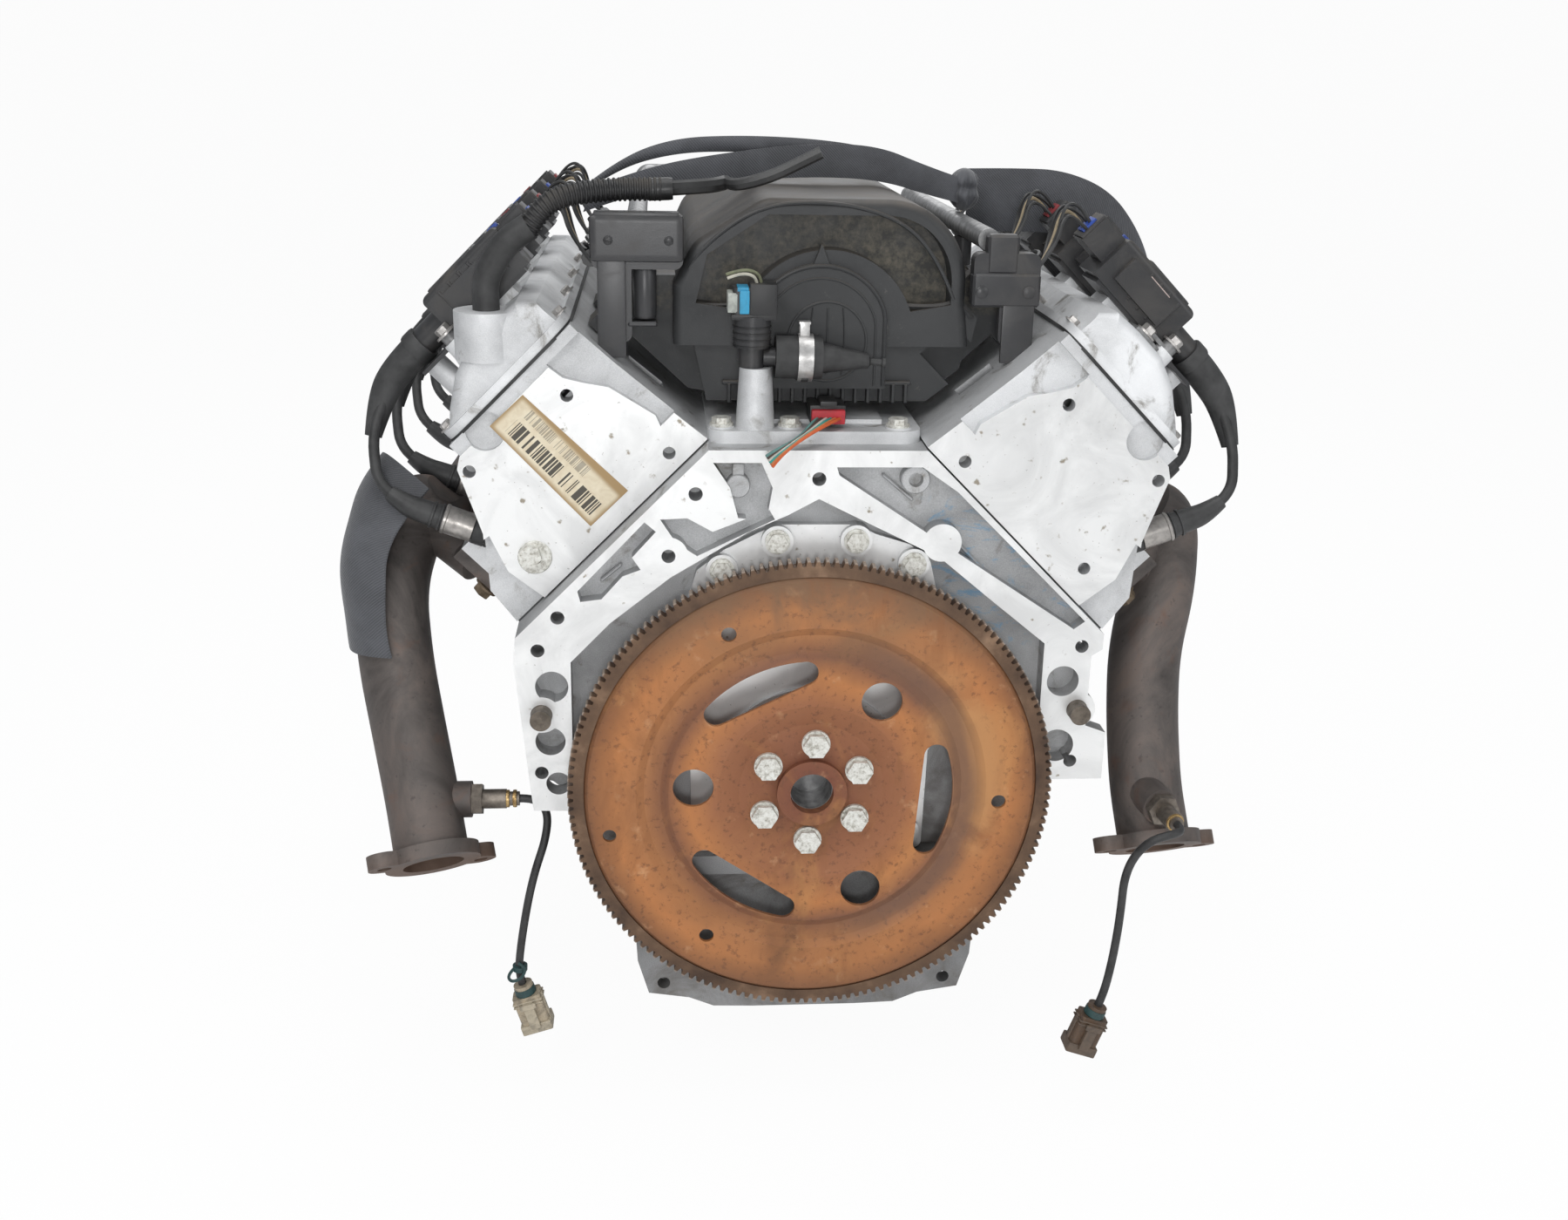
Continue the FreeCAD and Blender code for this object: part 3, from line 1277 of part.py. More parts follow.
def strap_band(points, y_low, y_high):
    """A webbing strap laid over the engine: a band of even thickness along a line in X and Z."""
    outer = []
    for index, (x, z) in enumerate(points):
        before = points[max(index - 1, 0)]
        after = points[min(index + 1, len(points) - 1)]
        dx, dz = after[0] - before[0], after[1] - before[1]
        length = math.hypot(dx, dz)
        outer.append((x - dz / length * strap_thickness, z + dx / length * strap_thickness))
    return prism(list(points) + outer[::-1], y_low, y_high)


def lifting_strap():
    """Webbing left on the engine: on edge over the plenum, knotted, past the right coils, and round the left pipe."""
    top_outer = [(-168, 424), (-130, 440), (-80, 452), (0, 457), (60, 454), (104, 444), (126, 432)]
    top_inner = [(126, 404), (100, strap_floor), (-60, strap_floor), (-120, 412), (-166, 396)]
    top = prism(top_outer + top_inner, strap_y, strap_y + strap_thickness)
    knot = rounded(box(126, 140, strap_y - 6, strap_y + 42, 400.2, 434), 5, lambda e: e.BoundBox.ZMin > 433)
    right_outer = [(140, 434), (218, 434), (252, 420), (286, 388), (297, 362), (299, 300)]
    right_inner = [(292, 300), (286, 344), (258, 366), (238, 376), (140, 379)]
    right = prism(right_outer + right_inner, strap_y + 36, strap_y + 36 + strap_thickness)
    left_wrap = [(-343.6, 96), (-343.6, 132), (-340.4, 168), (-332.4, 200)]
    return [fuse([top, knot, right]), strap_band(left_wrap, 74, 74 + strap_width + 14)]


loom_start = (-200.0, cylinder_y(0) - bank_end_margin + 29.0 + bank_offset, 400.0)


def engine_harness():
    """The corrugated loom over the left rail cover, and its taped branch to the plenum."""
    loom = tube([loom_start, (-188, loom_start[1], 408), (-162, 64, 420), (-132, 68, 422), (-106, 70, 424)], 8.0)
    branch = tube([(-106, 70, 424), (-88, 71, 426), (-66, 74, 427), (-40, 80, 426.2)], 5.0)
    return [loom, branch]


def vent_elbow():
    """The rubber elbow on the left cover's neck, rising to the loom."""
    reach = neck_length * sine
    x, y, z = bank_point(neck_x - reach, cylinder_y(0) - bank_end_margin + 29, neck_z + reach, LEFT)
    meet = V(*loom_start) - V(18, 0, 12)
    return tube([(x, y, z), (x, y, z + 22), tuple(meet), loom_start], elbow_radius)


def bell_dowels():
    """Each dowel is pressed into the block, with a slimmer nose that enters the housing."""
    return [fuse([rod_y(x, 0, bell_hole_depth - 1, z, dowel_radius), rod_y(x, -dowel_reach, 0, z, dowel_nose_radius)])
            for x, z in dowel_places]


def housing_bolts():
    """The hexagon bolts that show: rear cover, valley cover, head ends and the block's left boss."""
    bolts = []
    for x, z in rear_cover_bolts_all():
        bolts.append(bolt((x, cover_plate_y - cover_boss_height, z), (0, -1, 0), 13.0, 6.0, 9.0))
    for x, y in valley_bolt_places():
        bolts.append(bolt((x, y, valley_deck + valley_boss_height), (0, 0, 1), 12.0, 6.0, 8.5))
    low = cylinder_y(0) - bank_end_margin
    bolts.append(bank(bolt((23, low, 266), (0, -1, 0), 15.0, 8.0), LEFT))
    return bolts


def main():
    os.makedirs("parts", exist_ok=True)
    export("engine_block", engine_block())
    export("main_bearing_caps", main_bearing_caps())
    export("crankshaft", crankshaft())
    export("crank_sprocket", crank_sprocket())
    export("harmonic_balancer", harmonic_balancer())
    export("flexplate", [fuse([flexplate(), flexplate_hub()])])
    export("ring_gear", ring_gear())
    export("flexplate_bolts", flexplate_bolts())
    export("camshaft", camshaft())
    export("cam_sprocket", cam_sprocket())
    export("timing_chain", timing_chain())
    for index in range(cylinder_count):
        from_front = cylinder_count - 1 - index
        export("piston_%d" % (2 * from_front + 1), piston(LEFT, index))
        export("piston_%d" % (2 * from_front + 2), piston(RIGHT, index))
    export("cylinder_head_left", cylinder_head(LEFT))
    export("cylinder_head_right", cylinder_head(RIGHT))
    export("head_gaskets", head_gaskets())
    export("valve_cover_left", valve_cover(LEFT))
    export("valve_cover_right", valve_cover(RIGHT))
    export("valve_lifters", valve_lifters())
    export("pushrods", pushrods())
    export("rocker_arms", rocker_arms())
    export("valves", valves())
    export("spark_plugs", spark_plugs())
    export("plug_wires", plug_wires())
    export("ignition_coils", ignition_coils())
    export("rear_cover", rear_cover())
    export("rear_seal", rear_seal())
    export("valley_cover", valley_cover())
    export("oil_pressure_sensor", oil_pressure_sensor())
    export("vent_hose", [vent_hose(), hose_clamp()])
    export("oil_pan", oil_pan())
    export("front_cover", front_cover())
    export("oil_pump", oil_pump())
    export("water_pump", water_pump())
    export("water_pump_rotor", water_pump_rotor())
    export("intake_lower", intake_lower())
    export("intake_upper", intake_upper())
    export("intake_brackets", intake_brackets())
    export("fuel_rails", fuel_rails())
    export("fuel_injectors", fuel_injectors())
    export("throttle_body", throttle_body())
    export("throttle_plate", throttle_plate())
    export("exhaust_manifold_left", exhaust_manifold(LEFT))
    export("exhaust_manifold_right", exhaust_manifold(RIGHT))
    export("oxygen_sensors", oxygen_sensors())
    export("sensor_cord_left", sensor_cord(left_cord_points))
    export("sensor_cord_right", sensor_cord(right_cord_points))
    export("sensor_plug_left", sensor_plug(left_cord_points))
    export("sensor_plug_right", sensor_plug(right_cord_points))
    export("lifting_strap", lifting_strap())
    export("engine_harness", engine_harness())
    export("vent_elbow", vent_elbow())
    export("bell_dowels", bell_dowels())
    export("housing_bolts", housing_bolts())


main()
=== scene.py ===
"""A complete V8 engine with its flexplate, held in the air by its bellhousing face, dressed for the camera."""
import math

import bmesh
import bpy
from bpy.props import FloatProperty, FloatVectorProperty, IntProperty, PointerProperty
from mathutils import Matrix, Vector


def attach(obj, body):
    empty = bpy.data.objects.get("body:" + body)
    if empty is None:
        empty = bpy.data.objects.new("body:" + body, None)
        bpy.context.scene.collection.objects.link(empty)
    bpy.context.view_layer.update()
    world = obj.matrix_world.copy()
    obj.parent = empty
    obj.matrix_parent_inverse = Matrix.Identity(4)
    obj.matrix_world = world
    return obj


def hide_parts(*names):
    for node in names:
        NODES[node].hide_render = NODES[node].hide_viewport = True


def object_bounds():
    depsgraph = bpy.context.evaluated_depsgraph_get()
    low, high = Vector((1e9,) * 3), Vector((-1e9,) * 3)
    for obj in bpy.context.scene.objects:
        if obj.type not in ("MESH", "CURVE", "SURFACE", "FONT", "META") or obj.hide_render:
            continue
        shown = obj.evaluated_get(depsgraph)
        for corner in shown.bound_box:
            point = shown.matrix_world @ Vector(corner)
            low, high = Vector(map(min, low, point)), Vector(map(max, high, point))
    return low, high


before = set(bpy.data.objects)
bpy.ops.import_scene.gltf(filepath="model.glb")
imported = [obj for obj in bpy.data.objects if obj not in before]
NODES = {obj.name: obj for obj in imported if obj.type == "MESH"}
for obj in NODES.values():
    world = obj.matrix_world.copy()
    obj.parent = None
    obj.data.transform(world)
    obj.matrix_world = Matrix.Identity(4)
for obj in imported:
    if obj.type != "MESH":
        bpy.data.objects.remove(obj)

bl_info = {
    "name": "V8 engine",
    "version": (1, 0, 0),
    "blender": (4, 5, 0),
    "location": "View3D > Sidebar > Engine",
    "description": "Dresses a V8 engine: finishes, leads, webbing, fastenings and a studio",
    "category": "Object",
}

CAD_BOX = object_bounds()
LEFT = -1
RIGHT = 1
SIDES = (LEFT, RIGHT)
MILLIMETRE = 0.001
DIAGONAL = math.sqrt(0.5)
SHARP_ANGLE = math.radians(33.0)
BACKDROP_GLOW = 0.95
FACING_LIKENESS = 0.97
MOST_TURN = math.radians(60.0)
BOLT_CHAMFER = 0.8

# The engine's own measures, in millimetres; a bank's X runs outboard, its Y forward and its Z up the bores
BANK_OFFSET = 24.0
BORE_PITCH = 111.76
REAR_CYLINDER = 71.88
COIL_SHIFT = 18.0
COIL_BOLT_X = -60
COIL_BOLT_SPREAD = 29
COIL_RAIL_OVERHANG = 42
BOSS_X = -39.5
BOSS_SHIFT = -10.0
COVER_X = (-116.0, 6.0)
COVER_Y = (5.88, 473.88)
COVER_CORNER = 20.0
COVER_MARGIN = 26.0
COVER_BOLT_X = (-112.6, 2.6)
PLUG_SEAT = (44.0, 291.0)
PLUG_LEAN = (0.42, 0.9075)
PLUG_SHIFT = -28.0
PUMP_HUB = (611.8, 162)
PUMP_HUB_RADIUS = 40

# The bar label's corner in X and Z, in metres, and the way that its long edge runs
LABEL_CORNER = (-0.2298, 0.2655)
LABEL_LEAN = (0.6864, 0.7272)


# Places in the engine's frame, given in millimetres

def at(x, y, z):
    return Vector((x, y, z)) * MILLIMETRE


def bank_place(x, y, z, side):
    """A point of a cylinder bank's own frame: x outboard, y forward, z up the bores."""
    across = side * (x + z) * DIAGONAL
    shift = BANK_OFFSET if side == LEFT else 0.0
    return at(across, y + shift, (z - x) * DIAGONAL)


def bank_axes(side):
    """The bank's own axes as columns, with its origin at the crankshaft."""
    outboard = Vector((side * DIAGONAL, 0, -DIAGONAL))
    upward = Vector((side * DIAGONAL, 0, DIAGONAL))
    matrix = Matrix((outboard, Vector((0, 1, 0)), upward)).transposed().to_4x4()
    shift = BANK_OFFSET if side == LEFT else 0.0
    return Matrix.Translation(at(0, shift, 0)) @ matrix


def aimed(origin, direction):
    """A frame at a point whose Z runs along a direction."""
    turn = Vector(direction).to_track_quat("Z", "Y").to_matrix().to_4x4()
    return Matrix.Translation(origin) @ turn


def bank_row(shift=0.0):
    """The four cylinders' places along a bank, in millimetres, each moved by a shift."""
    return [REAR_CYLINDER + BORE_PITCH * index + shift for index in range(4)]


# Meshes

def ring(shell, radius, level, steps):
    """Vertices on a circle round Z, in millimetres."""
    return [shell.verts.new(at(radius * math.cos(math.tau * k / steps), radius * math.sin(math.tau * k / steps), level))
            for k in range(steps)]


def bridge(shell, low, high):
    """Faces between two rings of vertices; a ring may be a single point."""
    steps = max(len(low), len(high))
    for k in range(steps):
        following = (k + 1) % steps
        corners = dict.fromkeys((low[k % len(low)], low[following % len(low)], high[following % len(high)],
                                 high[k % len(high)]))
        if len(corners) > 2:
            shell.faces.new(list(corners))


class Maker:
    """Gathers closed shells, each finished on its own, into one mesh."""

    def __init__(self):
        self.whole = bmesh.new()

    def take(self, shell, matrix=None):
        if matrix is not None:
            shell.transform(matrix)
        bmesh.ops.recalc_face_normals(shell, faces=shell.faces)
        carrier = bpy.data.meshes.new("carrier")
        shell.to_mesh(carrier)
        shell.free()
        self.whole.from_mesh(carrier)
        bpy.data.meshes.remove(carrier)

    def block(self, low, high, bevel=0.0, segments=2, matrix=None):
        """A box between two corners in millimetres, with its edges rounded."""
        low, high = at(*low), at(*high)
        shell = bmesh.new()
        bmesh.ops.create_cube(shell, size=1.0)
        shell.transform(Matrix.Translation((low + high) / 2) @ Matrix.Diagonal(high - low).to_4x4())
        self.rounded(shell, bevel, segments, matrix)

    def prism(self, outline, low, high, bevel=0.0, segments=2, matrix=None):
        """An outline in X and Z, in millimetres, pulled along Y."""
        shell = bmesh.new()
        near, far = ([shell.verts.new(at(x, level, z)) for x, z in outline] for level in (low, high))
        shell.faces.new(near)
        shell.faces.new(far[::-1])
        bridge(shell, near, far)
        bmesh.ops.recalc_face_normals(shell, faces=shell.faces)
        self.rounded(shell, bevel, segments, matrix)

    def lathe(self, profile, matrix=None, steps=32, closed=False):
        """A profile of radius and height, in millimetres, turned round Z."""
        shell = bmesh.new()
        rings = [ring(shell, radius, height, steps if radius else 1) for radius, height in profile]
        for low, high in zip(rings, rings[1:] + (rings[:1] if closed else [])):
            bridge(shell, low, high)
        self.take(shell, matrix)

    def hexagon(self, across_flats, height, matrix, washer=0.0):
        """A bolt's head with its chamfered top, standing on Z = 0."""
        corner = across_flats / math.sqrt(3)
        if washer:
            self.lathe([(0, 0), (washer, 0), (washer, height * 0.22), (corner * 0.9, height * 0.3), (0, height * 0.3)],
                       matrix, 28)
        shell = bmesh.new()
        rings = [ring(shell, radius, level, 6)
                 for radius, level in ((corner, 0.0), (corner, height - BOLT_CHAMFER), (corner - BOLT_CHAMFER, height))]
        for low, high in zip(rings, rings[1:]):
            bridge(shell, low, high)
        shell.faces.new(rings[0][::-1])
        shell.faces.new(rings[-1])
        self.take(shell, matrix)

    def sweep(self, points, radius, steps=12, radii=None):
        """A round tube along a smooth line through the route's points, in millimetres."""
        mesh = smooth_tube([at(*point) for point in points], radius * MILLIMETRE, steps, radii)
        self.whole.from_mesh(mesh)
        bpy.data.meshes.remove(mesh)

    def rounded(self, shell, bevel, segments, matrix):
        if bevel > 0:
            bmesh.ops.bevel(shell, geom=shell.edges[:], offset=bevel * MILLIMETRE, segments=segments, profile=0.7,
                            affect="EDGES", clamp_overlap=True)
        self.take(shell, matrix)

    def mesh(self, name):
        """Ends the mesh, with smooth faces and crisp edges where it turns sharply."""
        for face in self.whole.faces:
            face.smooth = True
        for edge in self.whole.edges:
            edge.smooth = not (len(edge.link_faces) == 2 and edge.calc_face_angle(math.pi) > SHARP_ANGLE)
        mesh = bpy.data.meshes.new(name)
        self.whole.to_mesh(mesh)
        self.whole.free()
        return mesh

    def finish(self, name, material, body="engine", slot=None):
        """Places the mesh under its material, on a body."""
        return place(name, self.mesh(name), material, body, slot)


def place(name, mesh, material, body="engine", slot=None):
    """An object for a mesh, riding on a body."""
    piece = bpy.data.objects.new(name, mesh)
    bpy.context.scene.collection.objects.link(piece)
    if material:
        mesh.materials.append(material)
    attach(piece, body)
    return piece


def route_curve(name, points, radius, resolution=8, bevel_resolution=3, radii=None):
    """A NURBS line with the route's points as its control points."""
    curve = bpy.data.curves.new(name, "CURVE")
    curve.dimensions = "3D"
    spline = curve.splines.new("NURBS")
    spline.points.add(len(points) - 1)
    for knot, point, share in zip(spline.points, points, radii or [1.0] * len(points)):
        knot.co = (*point, 1.0)
        knot.radius = share
    spline.order_u = 3
    spline.use_endpoint_u = True
    spline.resolution_u = resolution
    curve.bevel_depth = radius
    curve.bevel_resolution = bevel_resolution
    curve.use_fill_caps = radius > 0
    return curve


def evaluated_mesh(source):
    """The plain mesh of an object with its modifiers or bevel applied."""
    bpy.context.view_layer.update()
    graph = bpy.context.evaluated_depsgraph_get()
    return bpy.data.meshes.new_from_object(source.evaluated_get(graph))


def curve_mesh(curve):
    """The plain mesh that a curve makes; the curve itself is removed."""
    holder = bpy.data.objects.new(curve.name, curve)
    bpy.context.scene.collection.objects.link(holder)
    mesh = evaluated_mesh(holder)
    bpy.data.objects.remove(holder)
    bpy.data.curves.remove(curve)
    return mesh


def smooth_tube(points, radius, steps=12, radii=None):
    """A round tube along control points, in metres; radii scale it point by point."""
    mesh = curve_mesh(route_curve("tube", points, radius, 8, max(1, steps // 4 - 1), radii))
    for polygon in mesh.polygons:
        polygon.use_smooth = True
    return mesh


# Materials

def add_node(tree, kind, inputs, **settings):
    """A node; each input is a value, a colour, an output that feeds it, or a list of outputs."""
    node = tree.nodes.new(kind)
    for key, value in settings.items():
        setattr(node, key, value)
    for key, value in inputs.items():
        feed(tree, node.inputs[key], value)
    return node.outputs


def feed(tree, socket, value):
    """Links outputs to a socket, or sets its own value; a colour may leave out its alpha."""
    if isinstance(value, list):
        for source in value:
            tree.links.new(source, socket)
    elif isinstance(value, bpy.types.NodeSocket):
        tree.links.new(value, socket)
    elif hasattr(value, "__len__") and len(value) == 3 and len(socket.default_value) == 4:
        socket.default_value = (*value, 1.0)
    else:
        socket.default_value = value


class Paint:
    """A node material built step by step; every pattern reads Object coordinates."""

    def __init__(self, name):
        self.material = bpy.data.materials.new(name)
        self.material.use_nodes = True
        self.tree = self.material.node_tree
        self.shader = self.tree.nodes["Principled BSDF"]
        coordinates = self.node("ShaderNodeTexCoord", {})
        self.position = coordinates["Object"]
        self.normal = coordinates["Normal"]
        self.colour = None

    def node(self, kind, inputs, **settings):
        return add_node(self.tree, kind, inputs, **settings)

    def noise(self, scale, detail=4.0, roughness=0.55, distortion=0.0, vector=None):
        return self.node("ShaderNodeTexNoise", {"Vector": vector or self.position, "Scale": scale, "Detail": detail,
                                                "Roughness": roughness, "Distortion": distortion})["Fac"]

    def waves(self, scale, direction, distortion, vector):
        return self.node("ShaderNodeTexWave", {"Vector": vector, "Scale": scale, "Distortion": distortion},
                         bands_direction=direction)["Fac"]

    def stretched(self, scale, turn):
        return self.node("ShaderNodeMapping", {"Vector": self.position, "Scale": scale, "Rotation": turn})["Vector"]

    def split(self, vector=None):
        parts = self.node("ShaderNodeSeparateXYZ", {0: vector or self.position})
        return parts["X"], parts["Y"], parts["Z"]

    def math(self, operation, *values):
        return self.node("ShaderNodeMath", dict(enumerate(values)), operation=operation)[0]

    def times(self, first, *others):
        for value in others:
            first = self.math("MULTIPLY", first, value)
        return first

    def plus(self, first, second):
        return self.math("ADD", first, second)

    def radius(self):
        """Distance from the crankshaft's axis."""
        x, _, z = self.split()
        return self.math("SQRT", self.plus(self.times(x, x), self.times(z, z)))

    def below(self, value, low, high):
        """Rises from 0 to 1 as the value sinks from -low to -high."""
        return self.step(self.times(value, -1.0), low, high)

    def band(self, value, low, high, soft=None):
        """1 between two values and 0 outside, with soft ends."""
        soft = soft or (high - low) * 0.1
        rise = self.step(value, low - soft, low + soft)
        fall = self.step(value, high - soft, high + soft)
        return self.math("SUBTRACT", rise, fall)

    def step(self, value, low, high):
        """Rises smoothly from 0 to 1 between two values."""
        return self.node("ShaderNodeMapRange", {"Value": value, "From Min": low, "From Max": high},
                         interpolation_type="SMOOTHSTEP")["Result"]

    def ramp(self, factor, *stops):
        """A run of colours or greys, each at its place from 0 to 1."""
        made = self.tree.nodes.new("ShaderNodeValToRGB")
        elements = made.color_ramp.elements
        while len(elements) < len(stops):
            elements.new(0.5)
        for element, (position, colour) in zip(elements, stops):
            element.position = position
            element.color = (*colour, 1.0) if hasattr(colour, "__len__") else (colour, colour, colour, 1.0)
        feed(self.tree, made.inputs["Fac"], factor)
        return made.outputs["Color"]

    def mix(self, factor, first, second, blend="MIX"):
        return self.node("ShaderNodeMix", {0: factor, 6: first, 7: second}, data_type="RGBA", blend_type=blend)[2]

    def facing(self, direction):
        """1 where the surface faces a direction of the object's own frame."""
        likeness = self.node("ShaderNodeVectorMath", {0: self.normal, 1: direction}, operation="DOT_PRODUCT")["Value"]
        return self.math("GREATER_THAN", likeness, FACING_LIKENESS)

    def spots(self, low, high, *noise):
        """Rises from 0 to 1 where a noise climbs from low to high."""
        return self.step(self.noise(*noise), low, high)

    def lay(self, cover, tint, *shares):
        """Lays a tint over the colour so far, as far as a cover and its shares allow."""
        self.colour = self.mix(self.times(cover, *shares), self.colour, tint)

    def set(self, **sockets):
        for key, value in sockets.items():
            feed(self.tree, self.shader.inputs[key.replace("_", " ").title()], value)
        return self.material

    def finish(self, grain, strength, distance, **sockets):
        """Ends the material with its grain as a bump."""
        bump = self.node("ShaderNodeBump", {"Height": grain, "Strength": strength, "Distance": distance})
        return self.set(base_color=self.colour, normal=bump["Normal"], **sockets)


MADE = {}


def made_once(build):
    """Each finish is built the first time that a piece asks for it."""
    def ask(*settings):
        key = (build.__name__,) + settings
        if key not in MADE:
            MADE[key] = build(*settings)
        return MADE[key]
    return ask


def finishes():
    return bpy.context.scene.engine_finish


@made_once
def casting(machined_below=-1.0, darkness=1.0, oily=False):
    """Sand-cast aluminium, with bright milled faces towards the rear up to a depth in metres."""
    paint = Paint("cast_aluminium")
    tint = [value * darkness for value in finishes().cast_colour]
    large = paint.noise(9.0, 6.0, 0.6, 0.4)
    fine = paint.noise(1500.0, 2.0, 0.6)
    stain = paint.noise(38.0, 5.0, 0.65, 0.8)
    paint.colour = paint.ramp(large, (0.3, [value * 0.62 for value in tint]), (0.55, tint),
                              (0.75, [min(1.0, value * 1.12) for value in tint]))
    paint.lay(paint.step(stain, 0.56, 0.8), (0.16, 0.14, 0.11))
    paint.colour = paint.mix(0.18, paint.colour, paint.ramp(fine, (0.3, 0.1), (0.7, 0.9)), "OVERLAY")
    if oily:
        lay_oil(paint)
    cast, bright = paint.colour, finishes().machined_colour
    paint.colour = paint.ramp(paint.noise(16.0, 5.0, 0.6, 1.2), (0.35, [value * 0.82 for value in bright]),
                              (0.6, bright))
    paint.lay(paint.spots(0.66, 0.76, 120.0, 3.0, 0.5), (0.33, 0.29, 0.23))
    paint.lay(paint.spots(0.68, 0.74, 420.0, 3.0, 0.6), (0.24, 0.22, 0.19), 0.6)
    rear = paint.times(paint.facing((0, -1, 0)), paint.math("LESS_THAN", paint.split()[1], machined_below))
    paint.colour = paint.mix(rear, cast, paint.colour)
    cutter = paint.waves(420.0, "Z", 6.0, paint.stretched((1, 1, 0.6), (0, 0.5, 0)))
    rough = paint.mix(rear, paint.ramp(large, (0.3, 0.62), (0.7, 0.5)), paint.ramp(cutter, (0.0, 0.3), (1.0, 0.4)))
    grain = paint.mix(rear, paint.plus(fine, paint.times(stain, 1.5)), paint.times(cutter, 0.12))
    return paint.finish(grain, 0.35, 0.0004, metallic=0.55, roughness=rough)


def lay_oil(paint):
    """Oil film low in the bellhousing and the blue smears beside its right arch."""
    x, _, z = paint.split()
    smear = paint.spots(0.52, 0.66, 30.0, 5.0, 0.7, 1.6, paint.stretched((1, 1, 2.2), (0, 0.8, 0)))
    arch = paint.times(paint.band(x, 0.078, 0.205, 0.012), paint.band(z, 0.105, 0.215, 0.012))
    paint.lay(smear, (0.13, 0.33, 0.52), arch, 0.65)
    film = paint.spots(0.42, 0.68, 17.0, 5.0, 0.65, 1.0)
    paint.lay(film, (0.13, 0.115, 0.10), paint.below(z, -0.16, 0.03), 0.62)


@made_once
def intake_finish():
    """Black intake moulding: brown dust and a painted brown-grey sheen on what faces up, and a mottled film inside the
    hood's recess.
    """
    paint = Paint("intake_plastic")
    _, depth, height = paint.split()
    upward = paint.step(paint.split(paint.normal)[2], 0.15, 0.95)
    film = paint.noise(19.0, 6.0, 0.65, 0.9)
    speckle = paint.noise(170.0, 4.0, 0.7)
    paint.colour = paint.ramp(paint.noise(7.0, 4.0, 0.6), (0.35, (0.020, 0.021, 0.022)), (0.65, (0.034, 0.035, 0.036)))
    # Upward faces take a lighter brown-grey: partly dust, partly a painted sheen where light falls on the hood's top.
    paint.lay(upward, (0.17, 0.145, 0.12), paint.step(film, 0.12, 0.8), 0.62)
    mottle = paint.ramp(speckle, (0.38, (0.022, 0.021, 0.018)), (0.52, (0.062, 0.056, 0.042)),
                        (0.7, (0.115, 0.10, 0.075)))
    paint.lay(paint.facing((0, -1, 0)), mottle, paint.step(depth, 0.074, 0.078), paint.step(height, 0.335, 0.345),
              paint.step(film, 0.2, 0.6))
    paint.lay(paint.spots(0.64, 0.72, 95.0, 4.0, 0.7, 0.4), (0.15, 0.14, 0.125), 0.3)
    grain = paint.plus(paint.noise(1300.0, 2.0, 0.5), paint.times(speckle, 0.5))
    return paint.finish(grain, 0.2, 0.00025, roughness=paint.ramp(film, (0.3, 0.42), (0.7, 0.6)))


@made_once
def rusted_plate():
    """A pressed steel disc under even orange rust, browner at its hub, rim and ring groove, with painted shade
    darkening the groove on its right half.
    """
    paint = Paint("rusted_steel")
    x, _, z = paint.split()
    radius = paint.radius()
    wander = paint.math("MULTIPLY_ADD", paint.noise(14.0, 4.0, 0.6, 0.5), 0.02, radius)
    clouds = paint.noise(11.0, 6.0, 0.62, 0.9)
    speckle = paint.noise(210.0, 3.0, 0.7)
    streaks = paint.spots(0.5, 0.68, 16.0, 6.0, 0.7, 1.4, paint.stretched((1.0, 1.0, 0.35), (0, 0.35, 0)))
    bright, brown = finishes().rust_colour, (0.17, 0.075, 0.035)
    paint.colour = paint.ramp(paint.times(wander, 5.0), (0.10, (0.17, 0.055, 0.032)), (0.22, (0.235, 0.09, 0.045)),
                              (0.40, (0.31, 0.125, 0.055)), (0.50, bright), (0.585, (0.20, 0.085, 0.045)),
                              (0.66, (0.36, 0.155, 0.06)), (0.78, bright), (0.895, brown))
    paint.lay(paint.step(clouds, 0.5, 0.74), (0.52, 0.25, 0.092), 0.8)
    paint.lay(paint.spots(0.54, 0.76, 7.0, 5.0, 0.6, 0.6), brown)
    paint.lay(paint.step(speckle, 0.54, 0.68), (0.13, 0.055, 0.03), 0.55)
    paint.lay(paint.spots(0.6, 0.8, 60.0, 4.0, 0.6), (0.70, 0.42, 0.22), 0.5)
    paint.lay(paint.step(z, 0.075, 0.165), (0.20, 0.115, 0.065), paint.step(clouds, 0.3, 0.62))
    paint.lay(streaks, (0.245, 0.10, 0.038), 0.5)
    paint.lay(paint.band(radius, 0.098, 0.142, 0.012), (0.50, 0.25, 0.10), paint.step(x, 0.02, 0.13),
              paint.step(clouds, 0.42, 0.66))
    # A dark band along the ring groove on the right half: painted shade of the groove.
    paint.lay(paint.band(wander, 0.117, 0.136, 0.007), (0.15, 0.085, 0.06), paint.step(x, -0.01, 0.07), 0.72)
    paint.lay(paint.below(z, 0.11, 0.175), (0.21, 0.10, 0.05), 0.55)
    grain = paint.plus(paint.noise(380.0, 4.0, 0.7), paint.times(speckle, 0.6))
    return paint.finish(grain, 0.3, 0.0005, metallic=0.25, roughness=paint.ramp(clouds, (0.3, 0.52), (0.7, 0.78)))


@made_once
def ring_steel():
    """Browned steel, rubbed paler at the tips of the teeth."""
    paint = Paint("browned_ring")
    paint.colour = paint.ramp(paint.noise(30.0, 5.0, 0.6), (0.3, (0.075, 0.045, 0.03)),
                              (0.55, finishes().ring_colour), (0.75, (0.30, 0.19, 0.12)))
    paint.lay(paint.step(paint.radius(), 0.1785, 0.1799), (0.42, 0.35, 0.29), 0.75)
    return paint.finish(paint.noise(500.0, 3.0, 0.6), 0.25, 0.0004, metallic=0.5, roughness=0.58)


